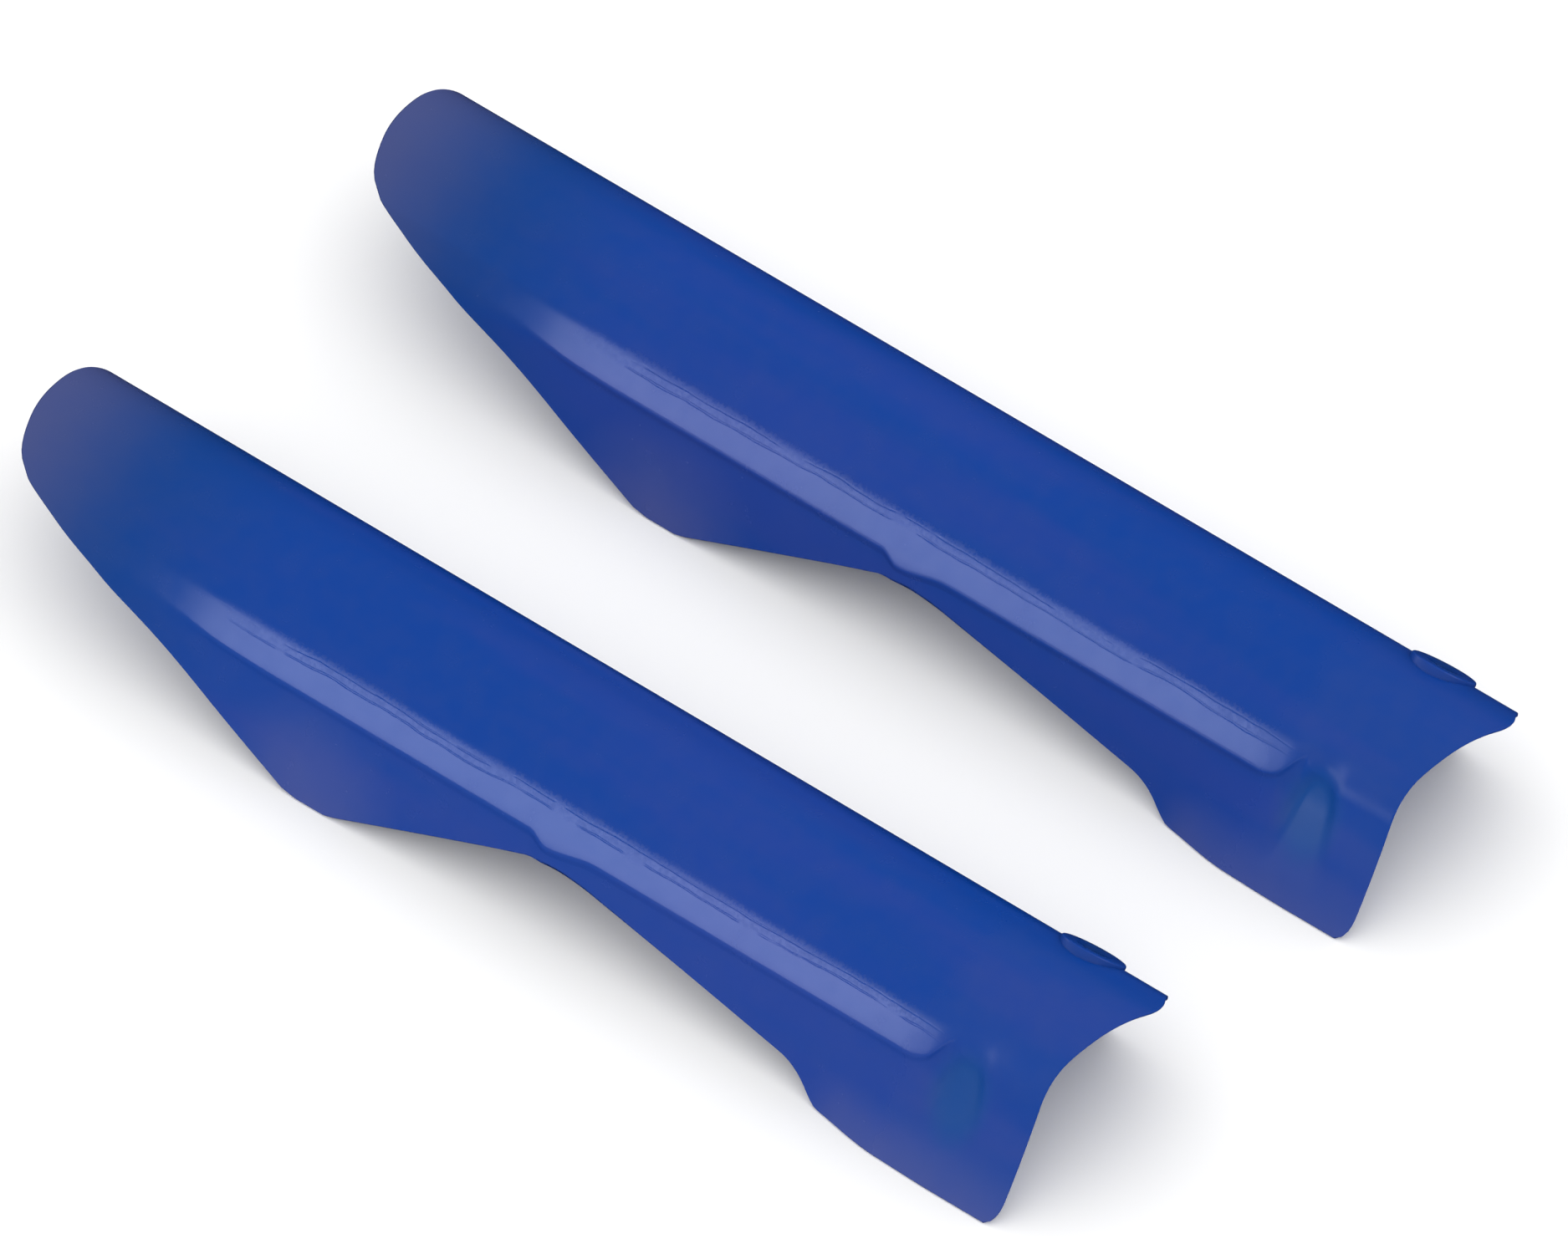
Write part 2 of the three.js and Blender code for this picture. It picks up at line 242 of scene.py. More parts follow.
def copy_to(piece: bpy.types.Object, name: str, offset: Vector) -> bpy.types.Object:
    """Copies a finished piece, with a mesh of its own, to another place.

    Args:
        piece: The finished piece.
        name: The copy's name.
        offset: How far it moves, in metres.

    Returns:
        The copy.
    """
    make_active(piece)
    bpy.ops.object.duplicate(linked=False)
    twin = name_piece(name)
    bpy.ops.transform.translate(value=offset)
    bpy.ops.object.transform_apply(location=True, rotation=False, scale=False)
    return twin


def rod(name: str, at: Vector, radius: float, low: float, high: float, sides: int = 48) -> bpy.types.Object:
    """Adds a cylinder that lies along Y.

    Args:
        name: Its name.
        at: A point on its axis, in metres; its y isn't used.
        radius: In metres.
        low: The y of its near end, in metres.
        high: The y of its far end, in metres.
        sides: Number of its flat sides.

    Returns:
        The object, with its place applied.
    """
    bpy.ops.object.select_all(action="DESELECT")
    bpy.ops.mesh.primitive_cylinder_add(
        vertices=sides, radius=radius, depth=high - low, end_fill_type="NGON",
        location=(at.x, (low + high) / 2, at.z), rotation=(math.pi / 2, 0, 0),
    )
    piece = name_piece(name)
    bpy.ops.object.transform_apply(location=True, rotation=True, scale=True)
    return piece


# --- finishes -----------------------------------------------------------------------------------------------


class Kind(Enum):
    """The kinds of node in the finishes: Blender's type, its settings, its inputs in order and its output."""

    PLACE = ("TexCoord", {}, (), "Object")
    MAP = ("TexCoord", {}, (), "UV")
    STRETCH = ("Mapping", {}, ("Vector", "Scale"), 0)
    SPLIT = ("SeparateXYZ", {}, (0,), slice(0, 3))
    JOIN = ("CombineXYZ", {}, (0, 1), 0)
    LENGTH = ("VectorMath", {"operation": "LENGTH"}, (0,), 1)
    NOISE = ("TexNoise", {}, ("Vector", "Scale", "Detail"), 0)
    RAMP = ("MapRange", {"interpolation_type": "SMOOTHSTEP"}, (0, 1, 2, 3, 4), 0)
    MIX = ("Mix", {"data_type": "RGBA"}, (0, 6, 7), 2)
    ADD = ("Math", {"operation": "ADD"}, (0, 1), 0)
    SUBTRACT = ("Math", {"operation": "SUBTRACT"}, (0, 1), 0)
    MULTIPLY = ("Math", {"operation": "MULTIPLY"}, (0, 1), 0)
    CAPPED_PRODUCT = ("Math", {"operation": "MULTIPLY", "use_clamp": True}, (0, 1), 0)
    MAXIMUM = ("Math", {"operation": "MAXIMUM"}, (0, 1), 0)
    ABSOLUTE = ("Math", {"operation": "ABSOLUTE"}, (0,), 0)
    BUMP = ("Bump", {}, ("Strength", "Distance", "Height"), 0)


class NodeSheet:
    """The node tree of one material, with its Principled shader ready."""

    def __init__(self, name: str) -> None:
        """Makes a material of this name.

        Args:
            name: The material's name.
        """
        self.material = bpy.data.materials.new(name)
        self.material.use_nodes = True
        self.tree = self.material.node_tree
        self.shader = self.tree.nodes["Principled BSDF"]

    def add(self, kind: Kind, *values: object) -> object:
        """Adds a node with its settings and links.

        Args:
            kind: What the node is.
            values: A value or another node's output for each input in order. The rest keep their defaults.

        Returns:
            The node's output, or its outputs where the kind has several.
        """
        name, settings, inputs, output = kind.value
        node = self.tree.nodes.new("ShaderNode" + name)
        for key, value in settings.items():
            setattr(node, key, value)
        self.fill(node, dict(zip(inputs, values)))
        return node.outputs[output]

    def fill(self, node: bpy.types.Node, values: dict) -> None:
        """Sets or links a node's inputs.

        Args:
            node: The node.
            values: A value or another node's output, by the input's name or number.
        """
        for key, value in values.items():
            if isinstance(value, bpy.types.NodeSocket):
                self.tree.links.new(value, node.inputs[key])
            else:
                node.inputs[key].default_value = value


@dataclass(frozen=True)
class MouldedPolypropylene:
    """Polypropylene, coloured right through and injection moulded.

    It has a soft satin gloss and a faint orange peel, and boots have scuffed it in places. Its colour holds
    painted light: violet streaks and pale ends and edges of painted reflection, and painted shade at the top
    end and round the foot's hollow.
    """

    colour: str = "#053c92"
    # Beside the plain colour: violet streaks of painted reflection, a pale painted reflection on edges and
    # ends, a greener painted shade in the foot's hollow, a darker painted shade at the top end, and a pale
    # painted reflection at the top end's very edge.
    violet_sheen: str = "#2c3e93"
    painted_glow: str = "#495493"
    hollow_shade: str = "#0b478f"
    top_end_shade: str = "#0b3c82"
    top_end_glow: str = "#454e80"
    ior: float = 1.49
    reflectance: float = 0.4
    roughness: float = 0.245
    peel: float = 1.6 * MM
    grain: float = 0.7 * MM
    relief: float = 0.12 * MM
    scratch_depth: float = 4.5
    streak: float = 34 * MM
    mottle: float = 9 * MM
    # Where the top end's painted shade and painted reflection run out along the guard.
    top_end_shade_span: tuple = (125 * MM, 25 * MM)
    top_end_glow_span: tuple = (62 * MM, -12 * MM)
    rubbed_foot: tuple = (408 * MM, 424 * MM)
    # Places of the greener painted shade round the foot's hollow and of the pale painted reflection on the
    # wing.
    arched_hollow: tuple = (437 * MM, 30 * MM)
    wing_tip: float = 158 * MM
    below_ledge: tuple = (11 * MM, 16 * MM)
    scuffs_begin: tuple = (90 * MM, 150 * MM)
    scuffs_end: tuple = (430 * MM, 405 * MM)
    scratches: tuple = ((2.1 * MM, 0.55 * MM), (5.2 * MM, 0.45 * MM))
    scratch_core: float = 0.1 * MM
    wander: float = 5 * MM

    def make(self) -> bpy.types.Material:
        """Makes the material.

        Returns:
            The material. It reads Object coordinates and the moulding's own map, whose U runs along the guard
            and whose V runs across it, both in metres.
        """
        sheet = NodeSheet("moulded_polypropylene_blue")
        add = sheet.add
        body = add(Kind.PLACE)
        along, across, _ = add(Kind.SPLIT, add(Kind.MAP))
        height = add(Kind.SPLIT, body)[2]
        scuffs, scratch = self._scuffs(sheet, body, along, across)

        # Broad violet streaks along the length are a painted reflection: a soft sheen laid out as random
        # streaks.
        sheen_streaks = add(Kind.NOISE, add(Kind.STRETCH, body, (0.16, 1, 1)), 1 / self.streak, 3)
        # The top end is painted darker, a painted shade, and paler at its very edge, a painted reflection.
        # The wing and the foot's edge get a pale painted reflection, and the foot's hollow a greener painted
        # shade.
        layers = (
            (add(Kind.RAMP, sheen_streaks, 0.44, 0.68, 0, 0.36), self.violet_sheen),
            # A pale painted reflection on the wing and along the foot's edge.
            (self._painted_glow_share(sheet, body, along, across, height), self.painted_glow),
            # A greener painted shade round the foot's hollow.
            (self._hollow_shade_share(sheet, along, height), self.hollow_shade),
            # Painted shade darkens the top end, and a pale painted reflection lies at its very edge.
            (add(Kind.RAMP, along, *self.top_end_shade_span), self.top_end_shade),
            (add(Kind.RAMP, along, *self.top_end_glow_span), self.top_end_glow),
        )
        colour = linear(self.colour)
        for share, tint in layers:
            colour = add(Kind.MIX, share, colour, linear(tint))

        # Grain is spark-eroded into the mould, drawn a little coarser than the real one so that it shows.
        peel = add(Kind.MULTIPLY, add(Kind.NOISE, body, 1 / self.peel, 1), 0.35)
        grain = add(Kind.MULTIPLY, add(Kind.NOISE, body, 1 / self.grain, 1), 0.2)
        grooves = add(Kind.MULTIPLY, scratch, self.scratch_depth)
        relief = add(Kind.SUBTRACT, add(Kind.ADD, peel, grain), grooves)

        mottle = add(Kind.NOISE, body, 1 / self.mottle, 4)
        gloss = add(Kind.RAMP, mottle, 0.3, 0.7, self.roughness - 0.02, self.roughness + 0.03)
        gloss = add(Kind.ADD, gloss, add(Kind.MULTIPLY, scuffs, 0.14))
        # The rider's boot has rubbed the foot dull.
        gloss = add(Kind.ADD, gloss, add(Kind.RAMP, along, *self.rubbed_foot, 0, 0.07))
        sheet.fill(sheet.shader, {
            "Base Color": colour, "Roughness": gloss, "IOR": self.ior, "Specular IOR Level": self.reflectance,
            "Normal": add(Kind.BUMP, 0.22, self.relief, relief)})
        return sheet.material

    def _hollow_shade_share(self, sheet: NodeSheet, along: object, height: object) -> object:
        """How much greener painted shade lies round the foot's arched hollow, where it keeps off the pale
        painted reflection.

        Args:
            sheet: The material's nodes.
            along: Distance along the guard, in metres.
            height: Height above the floor, in metres.

        Returns:
            The share of the painted shade's colour.
        """
        add = sheet.add
        middle, level = self.arched_hollow
        aside = add(Kind.SUBTRACT, along, middle)
        above = add(Kind.MULTIPLY, add(Kind.SUBTRACT, height, level), 0.75)
        distance = add(Kind.LENGTH, add(Kind.JOIN, aside, above))
        return add(Kind.RAMP, distance, 15 * MM, 6 * MM, 0, 0.85)

    def _scuffs(self, sheet: NodeSheet, body: object, along: object, across: object) -> tuple[object, object]:
        """Scuffs on the ledge's upper half: a dull, ragged patch, and two fine scratches that run along it.

        Args:
            sheet: The material's nodes.
            body: Object coordinates.
            along: Distance along the guard, in metres.
            across: Distance across it from the shoulder, in metres.

        Returns:
            The patch and the scratches, each from 0 to 1.
        """
        add = sheet.add
        starts, ends = (add(Kind.RAMP, along, *span) for span in (self.scuffs_begin, self.scuffs_end))
        reach = add(Kind.MULTIPLY, starts, ends)
        course = add(Kind.STRETCH, body, (0.35, 1, 1))
        drift = add(Kind.SUBTRACT, add(Kind.NOISE, course, 1 / (14 * MM), 4), 0.5)
        line = add(Kind.ADD, across, add(Kind.MULTIPLY, drift, self.wander))
        marks = [add(Kind.RAMP, add(Kind.ABSOLUTE, add(Kind.SUBTRACT, line, at)), half, self.scratch_core)
                 for at, half in self.scratches]
        broken = add(Kind.RAMP, add(Kind.NOISE, course, 1 / (8 * MM), 2), 0.36, 0.5)
        scratch = add(Kind.MULTIPLY, add(Kind.MAXIMUM, *marks), add(Kind.MULTIPLY, broken, reach))
        above, below = add(Kind.RAMP, line, -2 * MM, 1 * MM), add(Kind.RAMP, line, 6.5 * MM, 4 * MM)
        ragged = add(Kind.RAMP, add(Kind.NOISE, body, 1 / (1.3 * MM), 3), 0.4, 0.65)
        patch = add(Kind.MULTIPLY, add(Kind.MULTIPLY, above, below), ragged)
        return add(Kind.MULTIPLY, patch, reach), scratch

    def _painted_glow_share(self, sheet: NodeSheet, body: object, along: object, across: object,
                height: object) -> object:
        """How much pale painted reflection lies on the plastic: most at the wing's tip and along the foot's
        lower edge, and a little over the whole wing.

        Args:
            sheet: The material's nodes.
            body: Object coordinates.
            along: Distance along the guard, in metres.
            across: Distance across it from the shoulder, in metres.
            height: Height above the floor, in metres.

        Returns:
            The share of the painted reflection's pale colour, from 0 to 1.
        """
        add = sheet.add
        wing = add(Kind.RAMP, across, *self.below_ledge)
        foot = add(Kind.RAMP, along, 372 * MM, 396 * MM)
        foot = add(Kind.MULTIPLY, foot, add(Kind.RAMP, height, 26 * MM, -6 * MM))
        distance = add(Kind.LENGTH, add(Kind.JOIN, add(Kind.SUBTRACT, along, self.wing_tip), height))
        tip = add(Kind.MULTIPLY, add(Kind.RAMP, distance, 56 * MM, -10 * MM, 0, 0.9), wing)
        edges = add(Kind.MAXIMUM, tip, add(Kind.MULTIPLY, add(Kind.MULTIPLY, foot, 0.8), wing))
        glow = add(Kind.MAXIMUM, edges, add(Kind.MULTIPLY, wing, 0.1))
        patches = add(Kind.RAMP, add(Kind.NOISE, body, 1 / (30 * MM), 3), 0.2, 0.8, 0.85, 1.1)
        return add(Kind.CAPPED_PRODUCT, glow, patches)


@dataclass(frozen=True)
class TurnedMetal:
    """A metal turned on a lathe. Fine lines run round it, and soft patches change its colour and shine."""

    name: str
    colour: str
    patch: str
    patch_size: float
    patch_range: tuple
    patch_share: float
    roughness: tuple
    turning: float

    def make(self) -> bpy.types.Material:
        """Makes the material."""
        sheet = NodeSheet(self.name)
        add = sheet.add
        body = add(Kind.PLACE)
        patches = add(Kind.NOISE, body, 1 / self.patch_size, 4)
        patches = add(Kind.RAMP, patches, *self.patch_range, 0, self.patch_share)
        lines = add(Kind.NOISE, add(Kind.STRETCH, body, (0.3, 3, 0.3)), 1 / self.turning, 2)
        sheet.fill(sheet.shader, {
            "Base Color": add(Kind.MIX, patches, linear(self.colour), linear(self.patch)), "Metallic": 1.0,
            "Roughness": add(Kind.RAMP, patches, 0, 1, *self.roughness),
            "Normal": add(Kind.BUMP, 0.15, 0.03 * MM, lines)})
        return sheet.material


@dataclass(frozen=True)
class ZincPlatedSteel(TurnedMetal):
    """Cold-formed steel with bright zinc plating. It is pale silver, with a faint cloudy bloom."""

    name: str = "zinc_plated_steel"
    colour: str = "#c6c9cc"
    patch: str = "#a9adb2"
    patch_size: float = 2.5 * MM
    patch_range: tuple = (0.35, 0.7)
    patch_share: float = 1.0
    roughness: tuple = (0.22, 0.37)
    turning: float = 0.35 * MM


@dataclass(frozen=True)
class TurnedBrass(TurnedMetal):
    """Free-cutting brass, turned and knurled. It is yellow, with a slightly duller tarnish in patches."""

    name: str = "turned_brass"
    colour: str = "#c9a457"
    patch: str = "#9c7c3e"
    patch_size: float = 3 * MM
    patch_range: tuple = (0.45, 0.75)
    patch_share: float = 0.7
    roughness: tuple = (0.3, 0.3)
    turning: float = 0.3 * MM


@dataclass(frozen=True)
class PaleSweep:
    """White laminate that the guards lie on, matt and even."""

    colour: str = "#fbfbfb"
    roughness: float = 0.7
    reflectance: float = 0.2

    def make(self) -> bpy.types.Material:
        """Makes the material."""
        sheet = NodeSheet("white_laminate")
        sheet.fill(sheet.shader, {
            "Base Color": linear(self.colour), "Roughness": self.roughness,
            "Specular IOR Level": self.reflectance})
        return sheet.material


# --- the moulding -------------------------------------------------------------------------------------------


class Strip(Enum):
    """The strips of a guard's section, from the side wall's lower edge to the wing's lower edge."""

    SIDE = 0
    ROUND = 1
    SLOPE = 2
    BEND = 3
    LEDGE = 4
    NOSE = 5
    STEP = 6
    ROOT = 7
    FLANK = 8


@dataclass(frozen=True)
class GuardSizes:
    """Driving sizes of one moulding, in millimetres and degrees."""

    length: float = 481.4
    outer_radius: float = 35.0
    wall: float = 2.6
    side_height: float = 25.0
    runout_angle: float = 21.0
    slope_width: float = 21.5
    ledge_width: float = 15.3
    ledge_slope: float = 42.0
    ledge_step: float = 3.2
    wing_lean: float = 20.6
    foot_lean: float = 31.8
    wing_hollow: float = 0.3
    foot_hollow: float = 1.6
    ear_reach: float = 13.6
    pad_angle: float = 49.0
    pad_radius: float = 12.8
    pad_proud: float = 1.3

    @property
    def foot_edge(self) -> float:
        """Where the foot's straight end edge lies along the guard."""
        return self.length - self.ear_reach

    @property
    def crown(self) -> float:
        """Height of the half-round's top."""
        return self.side_height + self.outer_radius


def quadratic(start: np.ndarray, corner: np.ndarray, end: np.ndarray, t: np.ndarray) -> np.ndarray:
    """Points of a rounded corner, at shares t of the way round it."""
    t = t[:, None]
    return (1 - t) ** 2 * start + 2 * t * (1 - t) * corner + t * t * end


def rounded_line(corners: Sequence[tuple], steps: int = 24) -> np.ndarray:
    """A line through corners, where a corner with a setback is rounded over that length.

    Args:
        corners: (a, b, setback) for each corner.
        steps: Points on each rounding.

    Returns:
        The line's points, one per row.
    """
    points = [np.array(c[:2], float) for c in corners]
    line = [points[:1]]
    for before, here, after, corner in zip(points, points[1:], points[2:], corners[1:]):
        start = here + (before - here) * corner[2] / np.linalg.norm(before - here)
        end = here + (after - here) * corner[2] / np.linalg.norm(after - here)
        line.append(quadratic(start, here, end, np.linspace(0, 1, steps)))
    return np.vstack(line + [points[-1:]])


@dataclass
class SkinPoints:
    """Points of a skin: each one's strip, the share of it crossed, its x, and its lower edge's lift."""

    strip: np.ndarray
    share: np.ndarray
    x: np.ndarray
    lift: np.ndarray


@dataclass
class GuardForm:
    """The shape of a guard's outer and inner skins, in its own millimetres: x along, y across and z up.

    A pair of places along the guard says where a change begins and where it is complete.
    """

    sizes: GuardSizes = field(default_factory=GuardSizes)
    rows: dict = field(default_factory=lambda: {
        Strip.SIDE: 8, Strip.ROUND: 36, Strip.SLOPE: 8, Strip.BEND: 7, Strip.LEDGE: 5,
        Strip.NOSE: 5, Strip.STEP: 2, Strip.ROOT: 3, Strip.FLANK: 20,
    })
    straight_from: float = 205.0
    straight_to: float = 435.0
    spacings: tuple = ((205, 246, 2.0), (246, 278, 0.9), (278, 408, 2.0), (408, 433, 0.6), (433, 435, 1.0))
    top_columns: int = 100
    end_columns: int = 24
    bend_above: float = 1.6
    bend_below: float = 3.4
    step_grows: tuple = (52.0, 135.0)
    edge_crispens: tuple = (58.0, 112.0)
    ledge_ends: float = 413.0
    ledge_end_round: float = 15.5
    bulge: float = 3.2
    bulge_grows: tuple = (247.5, 256.5)
    bulge_fades: tuple = (256.0, 277.0)
    flares: tuple = ((0.85, 376.0, 414.0), (0.15, 405.0, 440.0))
    foot_begins: tuple = (421.0, 432.0)
    roll_tight: float = 1.6
    roll_added: float = 10.0
    roll_broadens: tuple = (416.0, 444.0)
    arch_middle: float = 436.5
    arch_depth: float = 2.4

    def __post_init__(self) -> None:
        """Works out the section's fixed points, the outline and the grid's lines."""
        s = self.sizes
        angle, slope = math.radians(s.runout_angle), math.radians(s.ledge_slope)
        lean = math.tan(math.radians(s.wing_lean))
        self.slope_dir = np.array([-math.cos(angle), -math.sin(angle)])
        self.ledge_dir = np.array([-math.cos(slope), -math.sin(slope)])
        self.runout = np.array([
            -s.outer_radius * math.sin(angle), s.side_height + s.outer_radius * math.cos(angle)])
        self.shoulder = self.runout + self.slope_dir * s.slope_width
        self.ledge_edge = self.shoulder + self.ledge_dir * s.ledge_width
        self.wing_top = self.ledge_edge - (0, s.ledge_step)
        # Where the ledge and the wing would meet with no step between them.
        rise = s.ledge_step * lean / (1 / math.tan(slope) - lean)
        self.bare_corner = self.ledge_edge - self.ledge_dir * rise / math.sin(slope)
        self.wing_low_y = self.wing_top[0] - self.wing_top[1] * lean
        self.foot_low_y = self.shoulder[0] - self.shoulder[1] * math.tan(math.radians(s.foot_lean))
        self._draw_outline()
        self._lay_grid()

    def _draw_outline(self) -> None:
        """Draws the wing side's lower edge, in x and z, and the foot's end edge, in y and x."""
        s = self.sizes
        foot_start = s.foot_edge - 83.3
        self.near_edge = rounded_line([
            (0, s.crown, 0),
            (3, s.crown - 6.2, 6.2),
            (50.5, self.ledge_edge[1] + 0.4, 6),
            (158.8, -3, 14),
            (257.4, 31.6, 9),
            (foot_start - 13, 10.6, 7),
            (foot_start, -1, 6),
            (s.foot_edge - 20, -1, 0),
        ])
        tip = int(np.argmin(self.near_edge[:, 1] + 1e3 * (self.near_edge[:, 0] > 200)))
        self.top_side = self.near_edge[: tip + 1]
        self.tip_x = float(np.interp(0.0, self.top_side[::-1, 1], self.top_side[::-1, 0]))
        self.foot_corner = rounded_line([
            (s.foot_edge - 20, -1, 0), (s.foot_edge, -1, 10), (s.foot_edge, 20, 0)])
        ear = s.length + 0.9
        self.end_edge = rounded_line([
            (-80, s.foot_edge, 0), (-25, s.foot_edge, 10), (15.6, ear, 6), (s.outer_radius, ear - 11.8, 0)])

    def _lay_grid(self) -> None:
        """Sets each row's strip and share, and the places of the columns over the straight middle."""
        rows = [(strip.value, i / n) for strip, n in self.rows.items() for i in range(n)]
        rows.append((Strip.FLANK.value, 1.0))
        self.row_strip = np.array([r[0] for r in rows])
        self.row_share = np.array([r[1] for r in rows])
        self.every_row = np.arange(len(rows))
        self.middle = np.concatenate([
            np.linspace(start, end, max(int((end - start) / spacing), 2), endpoint=False)
            for start, end, spacing in self.spacings])
        self.columns = self.top_columns + len(self.middle) + self.end_columns + 1

    # Changes along the guard

    def ledge_share(self, x: np.ndarray) -> np.ndarray:
        """How much of its width the ledge keeps at x, which closes it with a round end."""
        t = np.clip((x - self.ledge_ends) / self.ledge_end_round, 0, 1)
        return np.maximum(np.sqrt(1 - t * t), 0.06)

    def waist_bulge(self, x: np.ndarray) -> np.ndarray:
        """Millimetres that the ledge's edge swells outwards over the waist at x."""
        return self.bulge * smooth(x, *self.bulge_grows) * (1 - smooth(x, *self.bulge_fades))

    def foot_share(self, x: np.ndarray) -> np.ndarray:
        """How far the lower edge has flared from the wing to the foot at x."""
        return sum(share * smooth(x, start, end) for share, start, end in self.flares)

    def foot_roll(self, x: np.ndarray) -> np.ndarray:
        """How far above the shoulder its roll into the foot begins at x: tight by the ledge, then broad."""
        return self.roll_tight + self.roll_added * smooth(x, *self.roll_broadens)

    def low_edge(self, x: np.ndarray) -> np.ndarray:
        """Height of the lower edge at x, past the wing's tip."""
        height = np.interp(x, self.near_edge[:, 0], self.near_edge[:, 1])
        return np.where(x < self.tip_x + 1, 0.0, np.maximum(height, 0.0))

    def dimple(self, x: np.ndarray, z: np.ndarray) -> np.ndarray:
        """The arched hollow in the foot's flank, which widens downwards and runs out near the floor.

        Args:
            x: How far along the guard each point lies.
            z: Its height.

        Returns:
            The hollow's depth at each point.
        """
        across = (x - self.arch_middle) / (9.0 + 0.22 * np.clip(36 - z, 0, 30))
        above = np.clip(z - 34, 0, None) / 11.5
        inside = 1 - smooth(np.sqrt(across ** 2 + above ** 2), 0.45, 1.12)
        return self.arch_depth * inside * np.clip((z - 8) / 26, 0, 1)

    # The section

    def place(self, row: np.ndarray, x: np.ndarray, lift: np.ndarray, plain: bool) -> np.ndarray:
        """Where points of a skin lie across the guard.

        Args:
            row: Each point's row.
            x: How far along the guard it lies.
            lift: How far the lower edges are drawn up there.
            plain: Leaves out the step below the ledge, as the inner skin does.

        Returns:
            y and z of each point.
        """
        s = self.sizes
        at = SkinPoints(self.row_strip[row], self.row_share[row], x, lift)
        side = np.stack([np.full(len(x), s.outer_radius), lift + (s.side_height - lift) * at.share], 1)
        turn = np.radians(-90 + (90 + s.runout_angle) * at.share)
        half_round = np.stack([-np.sin(turn), np.cos(turn)], 1) * s.outer_radius + (0, s.side_height)
        stepped, soft, foot = self._ledge_section(at), self._soft_section(at), self._foot_section(at)
        softness = np.ones(len(x)) if plain else 1 - smooth(x, *self.edge_crispens)
        near = stepped + (soft - stepped) * softness[:, None]
        near += (foot - near) * smooth(x, *self.foot_begins)[:, None]
        on_side, on_round = ((at.strip == kind.value)[:, None] for kind in (Strip.SIDE, Strip.ROUND))
        return np.where(on_side, side, np.where(on_round, half_round, near))

    def _flank(self, top: np.ndarray, x: np.ndarray, t: np.ndarray, lift: np.ndarray) -> np.ndarray:
        """Points on the flank, which is slightly hollow.

        Args:
            top: The flank's upper edge at each point, in y and z.
            x: How far along the guard each lies.
            t: The share of the way down.
            lift: How far the lower edge is drawn up there.

        Returns:
            y and z of each point.
        """
        s = self.sizes
        foot = self.foot_share(x)
        low_z = self.low_edge(x) + lift
        full = (top[:, 1] - low_z) / top[:, 1]
        low_y = self.wing_low_y * (1 - foot) + self.foot_low_y * foot
        low = np.stack([top[:, 0] + (low_y - top[:, 0]) * full, low_z], 1)
        points = top + (low - top) * t[:, None]
        down = t * full
        hollow = (s.wing_hollow * (1 - foot) + s.foot_hollow * foot) * 4 * down * (1 - down)
        points[:, 0] += hollow + self.dimple(x, points[:, 1])
        return points

    def _bend(self, room: np.ndarray) -> tuple[np.ndarray, np.ndarray]:
        """Where the bend over the shoulder begins and ends, on a ledge this wide."""
        return (self.shoulder - self.slope_dir * self.bend_above,
                self.shoulder + self.ledge_dir * np.minimum(self.bend_below, 0.42 * room))

    def _draw(self, at: SkinPoints, curves: Iterable[tuple], top: np.ndarray,
              begin: np.ndarray) -> np.ndarray:
        """Draws a section from the slope down to the lower edge.

        Args:
            at: The points.
            curves: For each strip above the flank, a curve's start, corner and end, and the part of it that
                the strip covers. A straight line has None for a corner.
            top: The flank's upper edge.
            begin: The share of the flank at which the flank's own strip begins.

        Returns:
            y and z of each point.
        """
        out = np.zeros((len(at.x), 2))
        for kind, start, corner, end, low, high in curves:
            on = at.strip == kind.value
            corner = (start + end) / 2 if corner is None else corner
            ends = [np.broadcast_to(point, out.shape)[on] for point in (start, corner, end)]
            out[on] = quadratic(*ends, low + (high - low) * at.share[on])
        on = at.strip == Strip.FLANK.value
        out[on] = self._flank(top[on], at.x[on], (begin + (1 - begin) * at.share)[on], at.lift[on])
        return out

    def _ledge_section(self, at: SkinPoints) -> np.ndarray:
        """The section with a crisp ledge and a step below it.

        Args:
            at: The points.

        Returns:
            y and z of each point.
        """
        step = smooth(at.x, *self.step_grows)[:, None]
        width, bulge = self.ledge_share(at.x)[:, None], self.waist_bulge(at.x)[:, None]
        edge = self.bare_corner + (self.ledge_edge - self.bare_corner) * step + self.ledge_dir * bulge
        root = self.bare_corner + (self.wing_top - self.bare_corner) * step + self.ledge_dir * bulge * 0.9
        edge = self.shoulder + (edge - self.shoulder) * width
        root = self.shoulder + (root - self.shoulder) * width
        room = np.linalg.norm(edge - self.shoulder, axis=1)[:, None]
        drop = np.linalg.norm(edge - root, axis=1)[:, None]
        down = (root - edge) / np.maximum(drop, 1e-6)
        begin = np.full(len(at.x), 0.02)
        bend_from, bend_to = self._bend(room)
        nose_from = edge - self.ledge_dir * np.minimum(1.1, 0.3 * room)
        nose_to = edge + down * np.minimum(1.0, 0.4 * drop)
        root_from = root - down * np.minimum(0.9, 0.35 * drop)
        return self._draw(at, (
            (Strip.SLOPE, self.runout, None, bend_from, 0, 1),
            (Strip.BEND, bend_from, self.shoulder, bend_to, 0, 1),
            (Strip.LEDGE, bend_to, None, nose_from, 0, 1),
            (Strip.NOSE, nose_from, edge, nose_to, 0, 1),
            (Strip.STEP, nose_to, None, root_from, 0, 1),
            (Strip.ROOT, root_from, root, self._flank(root, at.x, begin, at.lift), 0, 1),
        ), root, begin)

